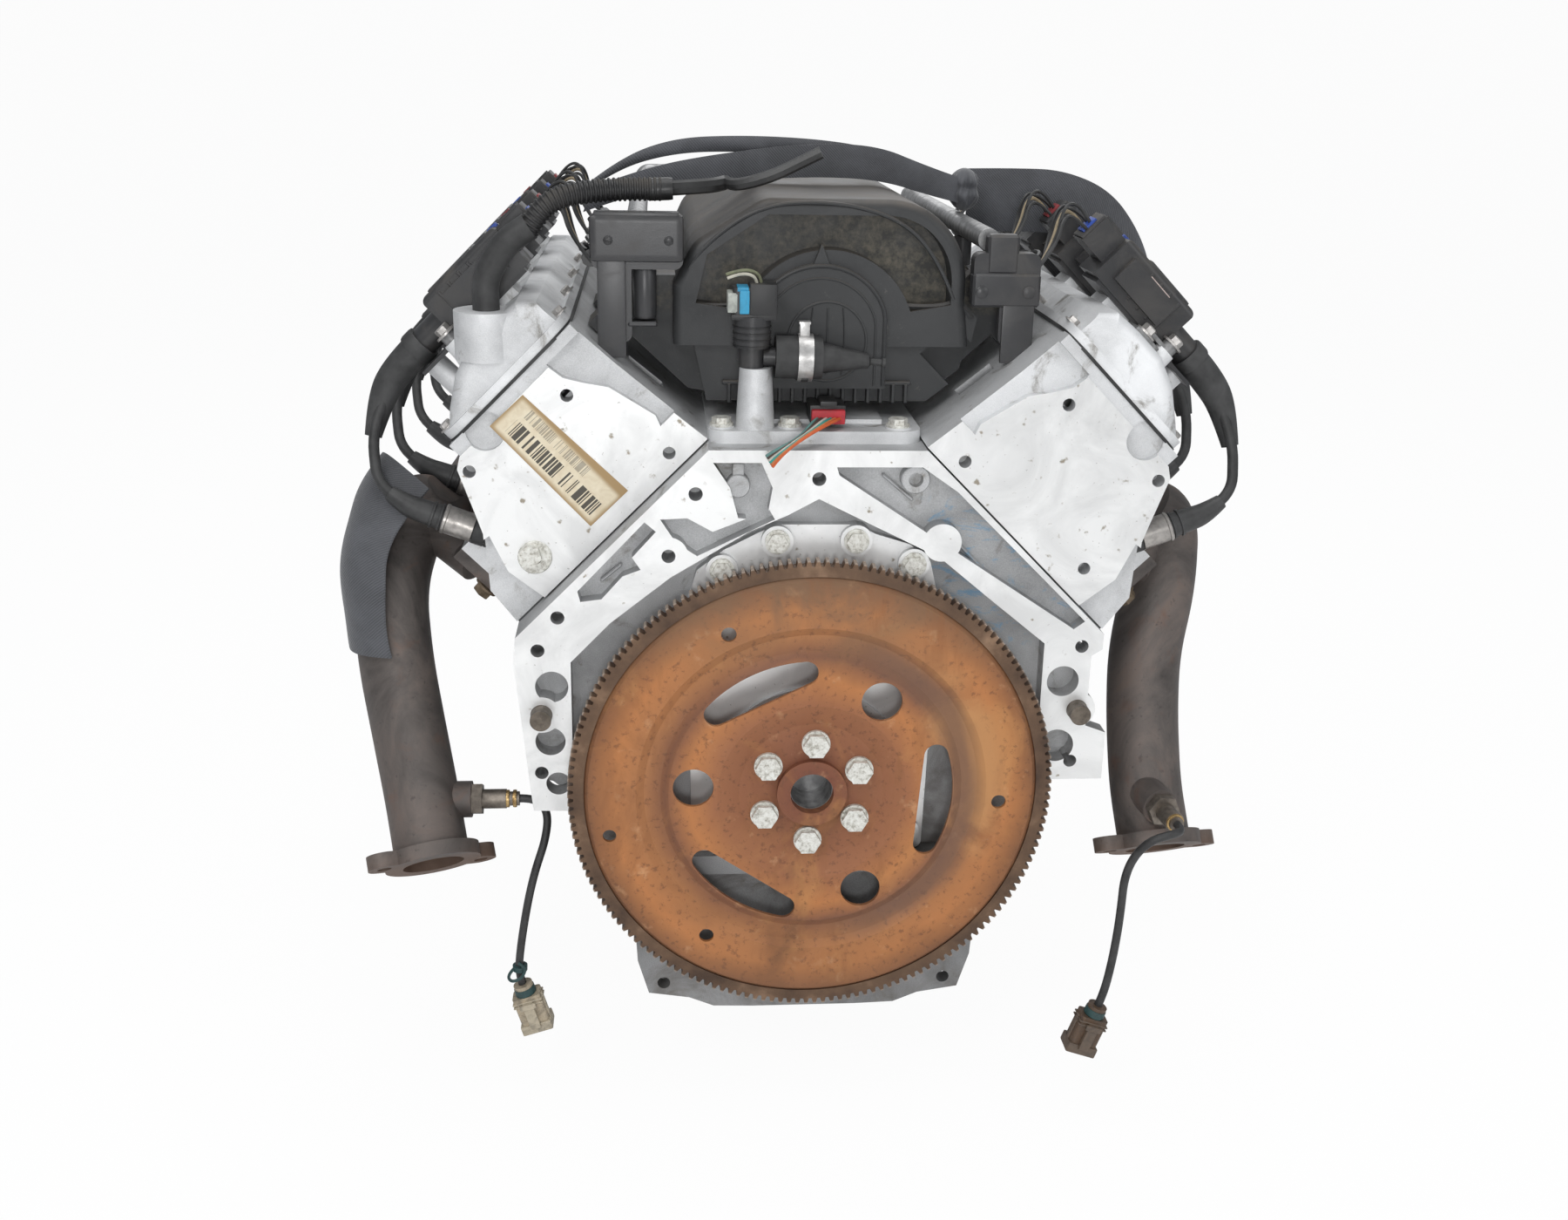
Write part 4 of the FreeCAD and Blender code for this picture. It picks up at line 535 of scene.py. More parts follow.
@made_once
def plain_steel(tone=0.45, roughness=0.38, warm=0.0):
    """Bare or plated steel with faint stains."""
    paint = Paint("steel")
    stain = paint.noise(140.0, 4.0, 0.6)
    light = (tone * (1 + warm), tone, tone * (1 - warm))
    paint.colour = paint.ramp(stain, (0.35, [value * 0.6 for value in light]), (0.62, light))
    return paint.finish(paint.noise(900.0, 2.0, 0.5), 0.12, 0.0003, metallic=0.85,
                        roughness=paint.ramp(stain, (0.3, roughness + 0.15), (0.7, roughness)))


def simple(name, spots, stops, grain, strength, distance, **sockets):
    """A finish whose colours follow one noise; its grain is a second noise, or the same where none is given."""
    paint = Paint(name)
    tone = paint.noise(*spots)
    paint.colour = paint.ramp(tone, *stops)
    return paint.finish(paint.noise(*grain) if grain else tone, strength, distance, **sockets)


@made_once
def zinc_bolt():
    """Dull plated bolt heads with chalky corrosion."""
    return simple("dull_zinc", (330.0, 4.0, 0.65),
                  ((0.32, (0.34, 0.32, 0.27)), (0.5, (0.66, 0.65, 0.60)), (0.7, (0.80, 0.80, 0.76))),
                  None, 0.35, 0.0005, metallic=0.45, roughness=0.5)


@made_once
def moulded(tone=0.012, roughness=0.42, dust=0.35, name="black_plastic"):
    """Moulded black plastic with a fine grain and a film of dust on what faces up."""
    paint = Paint(name)
    film = paint.spots(0.42, 0.72, 26.0, 6.0, 0.65, 0.8)
    upward = paint.step(paint.split(paint.normal)[2], 0.1, 0.95)
    amount = paint.times(paint.plus(upward, 0.35), film)
    paint.colour = (tone, tone, tone * 1.05)
    paint.lay(amount, (0.16, 0.14, 0.115), dust)
    rough = paint.ramp(amount, (0.0, roughness), (0.8, min(0.9, roughness + 0.3)))
    return paint.finish(paint.noise(1300.0, 2.0, 0.5), 0.2, 0.00025, roughness=rough)


@made_once
def rubber(tone=0.02, roughness=0.6):
    return simple("black_rubber", (60.0, 5.0, 0.6), ((0.35, tone), (0.7, tone * 2.4)), (700.0, 3.0, 0.6), 0.25, 0.0003,
                  roughness=roughness)


@made_once
def scaled_pipe():
    """Exhaust steel under heat scale, grey-brown with darker clouds and warm patches."""
    paint = Paint("heat_scaled_pipe")
    clouds = paint.noise(13.0, 6.0, 0.65, 1.2)
    paint.colour = paint.ramp(clouds, (0.30, (0.055, 0.048, 0.045)), (0.48, finishes().pipe_colour),
                              (0.62, (0.17, 0.14, 0.125)), (0.8, (0.22, 0.155, 0.12)))
    paint.lay(paint.spots(0.55, 0.78, 24.0, 5.0, 0.6, 0.6), (0.17, 0.085, 0.055), 0.6)
    paint.lay(paint.spots(0.6, 0.75, 190.0, 3.0, 0.6), (0.045, 0.04, 0.04), 0.5)
    paint.lay(paint.below(paint.split()[2], 0.045, 0.075), (0.19, 0.11, 0.07), 0.6)
    return paint.finish(paint.plus(clouds, paint.noise(420.0, 4.0, 0.7)), 0.3, 0.0005, metallic=0.45,
                        roughness=paint.ramp(clouds, (0.3, 0.48), (0.75, 0.72)))


@made_once
def webbing():
    """Black lifting webbing: a twill of fine diagonal ribs with a painted blue-grey sheen on them, a little shiny where
    it is worn.
    """
    paint = Paint("black_webbing")
    lie = paint.node("ShaderNodeUVMap", {}, uv_map="weave")["UV"]
    cross = paint.math("MULTIPLY_ADD", paint.waves(420.0, "Y", 0.6, lie), 0.5, 0.5)
    weave = paint.times(paint.waves(290.0, "DIAGONAL", 0.8, lie), cross)
    paint.colour = paint.ramp(paint.noise(22.0, 5.0, 0.6, 0.5), (0.35, finishes().webbing_colour),
                              (0.7, (0.075, 0.078, 0.088)))
    # The ribs are painted a lighter blue-grey: a painted sheen where light catches the weave.
    paint.lay(weave, (0.14, 0.145, 0.16), 0.5)
    return paint.finish(weave, 0.5, 0.0006, roughness=0.62, sheen_weight=0.25)


@made_once
def oiled_iron(tone=0.05):
    return simple("dark_iron", (40.0, 5.0, 0.6), ((0.35, tone * 0.6), (0.65, tone * 1.5)), (600.0, 3.0, 0.6), 0.3,
                  0.0004, metallic=0.6, roughness=0.5)


@made_once
def brass():
    return simple("stained_brass", (260.0, 4.0, 0.6), ((0.3, (0.22, 0.13, 0.05)), (0.6, (0.55, 0.38, 0.17))), None, 0.2,
                  0.0003, metallic=0.85, roughness=0.36)


@made_once
def tinted_plastic(red, green, blue, dirt=0.5):
    """A small coloured moulding, with darker dirt in random spots."""
    paint = Paint("coloured_plastic")
    paint.colour = (red, green, blue)
    grime = tuple(value * 0.35 + 0.02 for value in paint.colour)
    paint.lay(paint.spots(0.4, 0.7, 150.0, 5.0, 0.65, 0.6), grime, dirt)
    return paint.finish(paint.noise(800.0, 2.0, 0.5), 0.15, 0.0003, roughness=0.5)


# Settings

class EngineStage(bpy.types.PropertyGroup):
    azimuth: FloatProperty(name="Azimuth", description="Camera's turn round the engine", default=math.radians(-4.75),
                           subtype="ANGLE")
    elevation: FloatProperty(name="Elevation", description="Camera's height as an angle",
                             default=math.radians(19.15), subtype="ANGLE")
    roll: FloatProperty(name="Roll", description="Camera's lean", default=math.radians(1.25), subtype="ANGLE")
    distance: FloatProperty(name="Distance", description="From the camera to what it looks at", default=1.14893,
                            unit="LENGTH")
    target: FloatVectorProperty(name="Target", description="The point that the camera looks at", size=3,
                                default=(-0.02217, 0.0, 0.13723), subtype="XYZ", unit="LENGTH")
    lens: FloatProperty(name="Lens", description="Focal length in millimetres on a 36 mm frame", default=36.55)
    floor_gap: FloatProperty(name="Floor gap", description="Room between the lowest piece and the floor",
                             default=0.05, unit="LENGTH")


def tint(name, description, default):
    return FloatVectorProperty(name=name, description=description, size=3, default=default, subtype="COLOR", min=0,
                               max=1)


class EngineFinish(bpy.types.PropertyGroup):
    cast_colour: tint("Cast aluminium", "Colour of the rough castings", (0.68, 0.685, 0.69))
    machined_colour: tint("Milled aluminium", "Colour of the milled faces", (0.87, 0.87, 0.86))
    rust_colour: tint("Rust", "Main colour of the flexplate", (0.46, 0.185, 0.062))
    ring_colour: tint("Ring gear", "Main colour of the ring gear", (0.15, 0.09, 0.055))
    pipe_colour: tint("Exhaust", "Main colour of the exhaust pipes", (0.115, 0.10, 0.092))
    webbing_colour: tint("Webbing", "Main colour of the webbing", (0.035, 0.036, 0.04))
    floor_colour: tint("Floor", "Colour of the floor and sweep", (0.93, 0.93, 0.93))


class EngineSizes(bpy.types.PropertyGroup):
    cord_radius: FloatProperty(name="Sensor cord radius", description="Half the sensor cords' thickness",
                               default=0.0032, unit="LENGTH")
    rib_pitch: FloatProperty(name="Loom rib pitch", description="From rib to rib of the corrugated loom",
                             default=0.0034, unit="LENGTH")
    cover_bolts: IntProperty(name="Cover bolts", description="Bolts along each side of a valve cover", default=5,
                             min=2, max=12)


# Operators

class ENGINE_OT_stage(bpy.types.Operator):
    """Camera, soft lights, pale floor and sweep"""
    bl_idname = "engine.stage"
    bl_label = "Stage"

    def execute(self, context):
        settings = context.scene.engine_stage
        add_camera(context, settings)
        add_floor(settings)
        add_lights()
        light_world(context)
        context.scene.view_settings.view_transform = "Standard"
        return {"FINISHED"}


def add_camera(context, settings):
    turn, rise = settings.azimuth, settings.elevation
    back = Vector((math.sin(turn) * math.cos(rise), -math.cos(turn) * math.cos(rise), math.sin(rise)))
    right = (-back).cross(Vector((0, 0, 1))).normalized()
    up = right.cross(-back)
    rolled_right = right * math.cos(settings.roll) + up * math.sin(settings.roll)
    rolled_up = up * math.cos(settings.roll) - right * math.sin(settings.roll)
    data = bpy.data.cameras.new("camera")
    data.sensor_width = 36.0
    data.lens = settings.lens
    data.clip_end = 50.0
    camera = bpy.data.objects.new("camera", data)
    context.scene.collection.objects.link(camera)
    camera.matrix_world = (Matrix.Translation(Vector(settings.target) + back * settings.distance)
                           @ Matrix((rolled_right, rolled_up, back)).transposed().to_4x4())
    context.scene.camera = camera


def add_floor(settings):
    """A floor that curves up into a backdrop far behind."""
    level = CAD_BOX[0][2] - settings.floor_gap
    half, front, behind, tall, bend = 14.0, -12.0, 8.0, 8.0, 3.0
    profile = [(front, level), (behind - bend, level)]
    for step in range(1, 13):
        angle = step / 12 * math.pi / 2
        profile.append((behind - bend + bend * math.sin(angle), level + bend - bend * math.cos(angle)))
    profile.append((behind, level + tall))
    mesh = bpy.data.meshes.new("floor")
    vertices = [(side * half, y, z) for y, z in profile for side in (-1, 1)]
    faces = [(2 * k, 2 * k + 1, 2 * k + 3, 2 * k + 2) for k in range(len(profile) - 1)]
    mesh.from_pydata(vertices, [], faces)
    for polygon in mesh.polygons:
        polygon.use_smooth = True
    paint = Paint("pale_floor")
    glow = paint.node("ShaderNodeEmission", {"Color": (1.0, 1.0, 1.0)})[0]
    share = paint.times(paint.node("ShaderNodeLightPath", {})["Is Camera Ray"], BACKDROP_GLOW)
    blend = paint.node("ShaderNodeMixShader", {0: share, 1: paint.shader.outputs[0], 2: glow})[0]
    feed(paint.tree, paint.tree.nodes["Material Output"].inputs["Surface"], blend)
    mesh.materials.append(paint.set(base_color=finishes().floor_colour[:], roughness=0.9))
    floor = bpy.data.objects.new("floor", mesh)
    bpy.context.scene.collection.objects.link(floor)


def add_lights():
    lamps = (("key", (-1.1, -1.7, 1.9), 1.2, 20.0), ("fill", (1.7, -1.5, 1.1), 1.6, 10.0),
             ("top", (0.0, 0.1, 2.3), 2.0, 19.0), ("front", (-0.12, -2.0, 0.5), 0.45, 9.0),
             ("back", (0.4, 2.4, 1.6), 1.8, 10.0))
    aim = Vector((0.0, 0.1, 0.12))
    for name, place_at, size, power in lamps:
        data = bpy.data.lights.new(name, "AREA")
        data.shape = "DISK"
        data.size = size
        data.energy = power
        lamp = bpy.data.objects.new(name, data)
        bpy.context.scene.collection.objects.link(lamp)
        lamp.matrix_world = aimed(Vector(place_at), Vector(place_at) - aim)


def light_world(context):
    """A soft, cool light from all round, and plain white behind what the camera sees."""
    world = bpy.data.worlds.new("studio")
    world.use_nodes = True
    tree = world.node_tree
    tree.nodes.clear()
    rays = add_node(tree, "ShaderNodeLightPath", {})
    shown = add_node(tree, "ShaderNodeMath", {0: rays["Is Camera Ray"], 1: rays["Is Transmission Ray"]},
                     operation="MAXIMUM")
    soft, white = (add_node(tree, "ShaderNodeBackground", {"Color": colour, "Strength": strength})[0]
                   for colour, strength in (((0.93, 0.96, 1.0), 0.40), ((1.0, 1.0, 1.0), 1.0)))
    blend = add_node(tree, "ShaderNodeMixShader", {0: shown[0], 1: soft, 2: white})
    add_node(tree, "ShaderNodeOutputWorld", {"Surface": blend[0]})
    context.scene.world = world


class ENGINE_OT_castings(bpy.types.Operator):
    """Finishes of the block, heads, covers, pan and the other cast pieces"""
    bl_idname = "engine.castings"
    bl_label = "Castings"

    def execute(self, context):
        dress(casting(0.0008, 0.70, True), "engine_block")
        dress(casting(-1.0, 0.48, True), "oil_pan")
        dress(casting(0.0036, 1.0), "cylinder_head_right")
        dress(casting(0.0276, 1.0), "cylinder_head_left")
        # This casting is painted a little brighter (1.05): painted light that brightens the rear cover where the
        # flexplate shades it, shared by the other pieces on this line.
        dress(casting(0.0126, 1.05), "rear_cover", "valley_cover", "front_cover", "water_pump", "throttle_body",
              "throttle_plate")
        dress(casting(-1.0, 1.2), "valve_cover_left", "valve_cover_right")
        dress(oiled_iron(0.09), "main_bearing_caps", "oil_pump")
        dress(casting(-1.0, 1.2), *["piston_%d" % number for number in range(1, 9)])
        return {"FINISHED"}


class ENGINE_OT_turning(bpy.types.Operator):
    """Finishes of what turns: crankshaft, flexplate, ring gear, damper, camshaft, pump and throttle plate"""
    bl_idname = "engine.turning"
    bl_label = "Turning pieces"

    def execute(self, context):
        dress(rusted_plate(), "flexplate")
        dress(ring_steel(), "ring_gear")
        dress(zinc_bolt(), "flexplate_bolts", "housing_bolts")
        dress(plain_steel(0.40, 0.3), "crankshaft", "camshaft", "valves", "valve_lifters", "pushrods", "rocker_arms")
        dress(oiled_iron(0.06), "crank_sprocket", "cam_sprocket", "timing_chain")
        dress(oiled_iron(0.035), "harmonic_balancer", "water_pump_rotor")
        dress(plain_steel(0.16, 0.45, 0.18), "bell_dowels")
        dress(plain_steel(0.12, 0.4), "head_gaskets")
        return {"FINISHED"}


class ENGINE_OT_mouldings(bpy.types.Operator):
    """Finishes of the intake, coils, boots, hoses and the exhaust"""
    bl_idname = "engine.mouldings"
    bl_label = "Mouldings and pipes"

    def execute(self, context):
        dress(intake_finish(), "intake_upper", "intake_lower")
        dress(moulded(0.034, 0.32, 0.35, "bracket_plastic"), "intake_brackets")
        dress(moulded(0.032, 0.34, 0.4, "coil_plastic"), "ignition_coils", "oil_pressure_sensor", "fuel_injectors")
        dress(rubber(0.02, 0.55), "spark_plugs", "plug_wires", "vent_hose", "vent_elbow", "rear_seal",
              "engine_harness")
        dress(plain_steel(0.42, 0.35), "fuel_rails")
        dress(plain_steel(0.22, 0.4, 0.15), "oxygen_sensors")
        dress(scaled_pipe(), "exhaust_manifold_left", "exhaust_manifold_right")
        dress(webbing(), "lifting_strap")
        dress(tinted_plastic(0.42, 0.35, 0.25, 0.8), "sensor_plug_left")
        dress(tinted_plastic(0.10, 0.06, 0.035, 0.7), "sensor_plug_right")
        return {"FINISHED"}


def dress(material, *names):
    for name in names:
        mesh = NODES[name].data
        mesh.materials.clear()
        mesh.materials.append(material)


LEFT_CORD = ((-220, 42, -30), (-207, 42, -30), (-198, 37, -40), (-200, 27, -58), (-208, 20, -80), (-214, 15, -104),
             (-220, 12, -138), (-223, 10, -164), (-220, 10, -174))
LOOM_ROUTE = ((-201, 55.9, 398), (-193, 55.9, 412), (-176, 60, 421), (-152, 66, 424), (-128, 69, 425),
              (-110, 70, 425))
LOOM_TUBE = ((-112, 70, 425), (-98, 71, 426), (-82, 73, 427), (-70, 76, 428), (-64, 84, 429))
CUT_LEAD = ((-64, 84, 430), (-60, 76, 428), (-48, 70, 430), (-30, 66, 436), (-14, 64, 444), (2, 62, 452))
RIGHT_CORD = ((274.8, -31.712, -24), (276, -41.64, -24), (266, -51, -22), (250, -50, -27), (240, -45, -42),
              (235, -42, -62), (235.5, -40, -88), (235, -39, -112), (233, -38, -140), (229.5, -37, -166),
              (226, -37, -176))


class ENGINE_OT_cords(bpy.types.Operator):
    """The two sensor cords that hang free, each ending in its connector"""
    bl_idname = "engine.cords"
    bl_label = "Sensor cords"

    def execute(self, context):
        radius = context.scene.engine_sizes.cord_radius
        for side, route in (("left", LEFT_CORD), ("right", RIGHT_CORD)):
            points = [at(*point) for point in route]
            line = smooth_line(points, 10)
            cord = place("hanging_cord_" + side, smooth_tube(points, radius, 16), rubber(0.018, 0.5), "engine",
                         "cord_rubber")
            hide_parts("sensor_cord_" + side)
        self.connectors()
        return {"FINISHED"}

    def connectors(self):
        """The latch, ribs, mouth and seal of each cord's connector, the left cord's tie and the sensors' rings."""
        pale, brown, seals, rings = Maker(), Maker(), Maker(), Maker()
        for route, maker in ((LEFT_CORD, pale), (RIGHT_CORD, brown)):
            end, before = Vector(route[-1]), Vector(route[-2])
            turn = Vector((0, 0, 1)).rotation_difference(end - before).to_matrix().to_4x4()
            matrix = Matrix.Translation(end * MILLIMETRE) @ turn
            maker.block((-12.2, -9.2, 33), (12.2, 9.2, 41.2), 1.4, 2, matrix)
            maker.block((-4.2, -11.6, 13), (4.2, -7.8, 36), 1.2, 2, matrix)
            maker.block((-6.4, -12.4, 13), (6.4, -10.4, 17.6), 0.8, 2, matrix)
            for x in (-12, 9.8):
                maker.block((x, -2.2, 11), (x + 2.2, 2.2, 34), 0.7, 1, matrix)
            for level in (12.4, 15.2):
                maker.block((-11.8, -8.7, level), (11.8, 8.7, level + 1.4), 0.5, 1, matrix)
            seals.lathe([(3.2, 2.0), (8.0, 3.0), (8.3, 8.2), (7.6, 9.4), (3.2, 9.4)], matrix, 28)
            seals.block((-8.4, -5.4, 40.6), (8.4, 5.4, 41.7), 0.6, 1, matrix)
        knot = Matrix.Translation(at(-221.5, 10.6, -160))
        seals.lathe([(3.2, -2.6), (5.6, -2.2), (5.8, 2.2), (3.2, 2.6)], knot, 20, True)
        seals.sweep([(-226, 9, -160), (-231, 4, -163), (-228, 2, -168), (-220, 4, -166), (-216, 6, -158),
                     (-222, 5, -153)], 1.3, 8)
        pale.finish("connector_left_parts", tinted_plastic(0.45, 0.39, 0.29, 0.7), slot="plug_plastic_left")
        brown.finish("connector_right_parts", tinted_plastic(0.12, 0.085, 0.06, 0.6), slot="plug_plastic_right")
        seals.finish("connector_seals", tinted_plastic(0.02, 0.06, 0.06, 0.5), slot="cord_rubber")
        for origin, way in (((-229, 42, -30), (1, 0, 0)), ((-223.5, 42, -30), (1, 0, 0)),
                            ((274.3, -27.7, -24), (0.12, -0.9928, 0)), ((273.7, -22.6, -24), (0.12, -0.9928, 0))):
            rings.lathe([(5.2, -1.6), (6.7, -1.3), (6.9, 0), (6.7, 1.3), (5.2, 1.6)], aimed(at(*origin), way), 28, True)
        rings.finish("sensor_rings", brass(), slot="sensor_steel")


# Geometry Nodes

class Tree:
    """A geometry node tree with named inputs, built node by node."""

    def __init__(self, name, *sockets):
        self.tree = bpy.data.node_groups.new(name, "GeometryNodeTree")
        interface = self.tree.interface
        interface.new_socket("Geometry", in_out="INPUT", socket_type="NodeSocketGeometry")
        for label, kind, value in (*sockets, ("Material", "Material", None)):
            socket = interface.new_socket(label, in_out="INPUT", socket_type="NodeSocket" + kind)
            if value is not None:
                socket.default_value = value
        interface.new_socket("Geometry", in_out="OUTPUT", socket_type="NodeSocketGeometry")
        self.entry = self.tree.nodes.new("NodeGroupInput").outputs

    def add(self, kind, inputs, **settings):
        return add_node(self.tree, kind, inputs, **settings)

    def finish(self, geometry):
        """Ends the tree in Realize Instances and Set Material."""
        solid = self.add("GeometryNodeRealizeInstances", {"Geometry": geometry})
        coated = self.add("GeometryNodeSetMaterial", {"Geometry": solid["Geometry"],
                                                      "Material": self.entry["Material"]})
        self.add("NodeGroupOutput", {"Geometry": coated["Geometry"]})
        return self.tree


@made_once
def scatter_tree():
    """Stands one object on every point, along the point's axis, each turned by its own angle."""
    tree = Tree("stand_on_points", ("Piece", "Object", None), ("Seed", "Int", 3),
                ("Most turn", "Float", MOST_TURN))
    entry = tree.entry
    piece = tree.add("GeometryNodeObjectInfo", {"Object": entry["Piece"], "As Instance": True})
    axis = tree.add("GeometryNodeInputNamedAttribute", {"Name": "axis"}, data_type="FLOAT_VECTOR")
    align = tree.add("FunctionNodeAlignRotationToVector", {"Vector": axis["Attribute"]}, axis="Z")
    chance = tree.add("FunctionNodeRandomValue", {3: entry["Most turn"], "Seed": entry["Seed"]})
    spin = tree.add("FunctionNodeAxisAngleToRotation", {"Axis": (0, 0, 1), "Angle": chance[1]})
    turn = tree.add("FunctionNodeRotateRotation", {"Rotation": align["Rotation"], "Rotate By": spin["Rotation"]},
                    rotation_space="LOCAL")
    stand = tree.add("GeometryNodeInstanceOnPoints", {"Points": entry["Geometry"], "Instance": piece["Geometry"],
                                                      "Rotation": turn["Rotation"]})
    return tree.finish(stand["Instances"])


def rib_tree():
    """A split conduit: a tube along a line with a rib at every pitch."""
    tree = Tree("corrugated", ("Radius", "Float", 0.008), ("Rib", "Float", 0.0009), ("Pitch", "Float", 0.0034))
    entry = tree.entry
    line = tree.add("GeometryNodeMeshToCurve", {"Mesh": entry["Geometry"]})["Curve"]
    wall, hoop, section = (tree.add("GeometryNodeCurvePrimitiveCircle", {"Resolution": count, "Radius": entry[size]})
                           for count, size in ((24, "Radius"), (28, "Radius"), (8, "Rib")))
    tube = tree.add("GeometryNodeCurveToMesh", {"Curve": line, "Profile Curve": wall["Curve"], "Fill Caps": True})
    steps = tree.add("GeometryNodeResampleCurve", {"Curve": line, "Length": entry["Pitch"]}, mode="LENGTH")
    ring = tree.add("GeometryNodeCurveToMesh", {"Curve": hoop["Curve"], "Profile Curve": section["Curve"]})
    along = tree.add("GeometryNodeInputTangent", {})
    align = tree.add("FunctionNodeAlignRotationToVector", {"Vector": along["Tangent"]}, axis="Z")
    stand = tree.add("GeometryNodeInstanceOnPoints", {"Points": steps["Curve"], "Instance": ring["Mesh"],
                                                      "Rotation": align["Rotation"]})
    both = tree.add("GeometryNodeJoinGeometry", {"Geometry": [tube["Mesh"], stand["Instances"]]})
    return tree.finish(both["Geometry"])


def grown(name, tree, seed_mesh, body="engine", slot=None, **values):
    """Runs a tree on a mesh, keeps the result as a plain mesh and places it."""
    holder = bpy.data.objects.new(name + "_seed", seed_mesh)
    bpy.context.scene.collection.objects.link(holder)
    modifier = holder.modifiers.new(name, "NODES")
    modifier.node_group = tree
    for item in tree.interface.items_tree:
        if item.item_type == "SOCKET" and item.in_out == "INPUT" and item.name in values:
            modifier[item.identifier] = values[item.name]
    mesh = evaluated_mesh(holder)
    mesh.name = name
    bpy.data.objects.remove(holder)
    bpy.data.meshes.remove(seed_mesh)
    return place(name, mesh, None, body, slot)


def axis_points(places):
    """A mesh of loose points that carry an axis each; places are (point, axis)."""
    mesh = bpy.data.meshes.new("points")
    mesh.from_pydata([point for point, _ in places], [], [])
    attribute = mesh.attributes.new("axis", "FLOAT_VECTOR", "POINT")
    for item, (_, axis) in zip(attribute.data, places):
        item.vector = axis
    return mesh


def line_mesh(points):
    mesh = bpy.data.meshes.new("line")
    mesh.from_pydata(points, [(index, index + 1) for index in range(len(points) - 1)], [])
    return mesh


def smooth_line(points, resolution=8):
    """Points along the NURBS line whose control points are given."""
    mesh = curve_mesh(route_curve("line", points, 0.0, resolution))
    found = [vertex.co.copy() for vertex in mesh.vertices]
    bpy.data.meshes.remove(mesh)
    return found


def stand_all(name, template, places, material, body="engine", slot=None, seed=3):
    """Copies a template object to every place with the scatter tree."""
    mesh = template.mesh(name + "_one")
    model = bpy.data.objects.new(name + "_one", mesh)
    bpy.context.scene.collection.objects.link(model)
    piece = grown(name, scatter_tree(), axis_points(places), body, slot,
                  **{"Piece": model, "Seed": seed, "Most turn": MOST_TURN, "Material": material})
    bpy.data.objects.remove(model)
    bpy.data.meshes.remove(mesh)
    return piece


def hex_head(across_flats, height, washer):
    maker = Maker()
    maker.hexagon(across_flats, height, Matrix.Identity(4), washer)
    return maker


# Detail pieces

def cover_outline(margin=0.0):
    """The valve cover's flange in its bank's X and Y, in millimetres, with round corners."""
    low, high = COVER_Y[0] - margin, COVER_Y[1] + margin
    left, right = COVER_X[0] - margin, COVER_X[1] + margin
    corner = COVER_CORNER + margin
    points = []
    for centre_x, centre_y, start in ((right - corner, high - corner, 0), (left + corner, high - corner, 90),
                                      (left + corner, low + corner, 180), (right - corner, low + corner, 270)):
        for step in range(7):
            angle = math.radians(start + step * 15)
            points.append((centre_x + corner * math.cos(angle), centre_y + corner * math.sin(angle)))
    return points


class ENGINE_OT_leads(bpy.types.Operator):
    """Corrugated loom with its tubes, and the thick ends of the plug leads"""
    bl_idname = "engine.leads"
    bl_label = "Loom and leads"

    def execute(self, context):
        sizes = context.scene.engine_sizes
        black = rubber(0.012, 0.36)
        loom = smooth_line([at(*point) for point in LOOM_ROUTE], 10)
        conduit = grown("loom_conduit", rib_tree(), line_mesh(loom), slot="loom_plastic",
                        **{"Radius": 0.0072, "Rib": 0.0011, "Pitch": sizes.rib_pitch,
                           "Material": moulded(0.014, 0.42, 0.35, "loom_plastic")})
        maker = Maker()
        maker.sweep(LOOM_TUBE, 5.2)
        maker.sweep(CUT_LEAD, 4.4)
        maker.lathe([(0, -9), (7.4, -9), (7.8, -6), (7.8, 6), (7.4, 9), (0, 9)],
                    aimed(at(*LOOM_ROUTE[-1]), (1, 0, 0.05)))
        maker.finish("loom_tubes", black, slot="loom_plastic")
        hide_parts("engine_harness")
        boots = Maker()
        for side in SIDES:
            for y in bank_row(COIL_SHIFT):
                route = [bank_place(x, level, z, side) / MILLIMETRE
                         for x, level, z in ((-14, y, 420), (12, y, 420), (36, y - 2, 414), (60, y - 8, 399))]
                boots.sweep(route, 1.0, 24, [12.4, 12.4, 10.2, 6.4])
                collar = aimed(bank_place(-12, y, 420, side), Vector((side * DIAGONAL, 0, -DIAGONAL)))
                boots.lathe([(11.2, -6), (13.4, -6), (13.8, -4), (13.8, 3), (13.2, 5), (11.2, 5)], collar, 28, True)
        boots.finish("lead_boots", rubber(0.026, 0.55), slot="wire_rubber")
        self.plug_ends()
        return {"FINISHED"}

    def plug_ends(self):
        """Each plug's steel heat shield, and the elbow that its lead ends in."""
        shields, elbows = Maker(), Maker()
        lean = Vector((PLUG_LEAN[0], 0, PLUG_LEAN[1]))
        for side in SIDES:
            matrix = bank_axes(side)
            way = matrix.to_3x3() @ lean
            for y in bank_row(PLUG_SHIFT):
                seat = Vector((PLUG_SEAT[0], y, PLUG_SEAT[1]))
                shields.lathe([(9.2, 13), (10.7, 13), (10.7, 33), (11.3, 33.6), (11.3, 35.4), (10.7, 36), (9.2, 36)],
                              aimed(matrix @ (seat * MILLIMETRE), way), 32, True)
                route = [matrix @ ((seat + lean * reach) * MILLIMETRE) / MILLIMETRE for reach in (26, 50, 64)]
                route.append(matrix @ at(73, y + 2, 364) / MILLIMETRE)
                elbows.sweep(route, 1.0, 24, [9.6, 9.2, 8.2, 5.6])
                for reach in (38, 44):
                    elbows.lathe([(8.8, -1.2), (10.3, -0.8), (10.3, 0.8), (8.8, 1.2)],
                                 aimed(matrix @ ((seat + lean * reach) * MILLIMETRE), way), 28, True)
        shields.finish("plug_shields", plain_steel(0.46, 0.3, 0.06), slot="bolt_steel")
        elbows.finish("plug_elbows", rubber(0.024, 0.5), slot="wire_rubber")


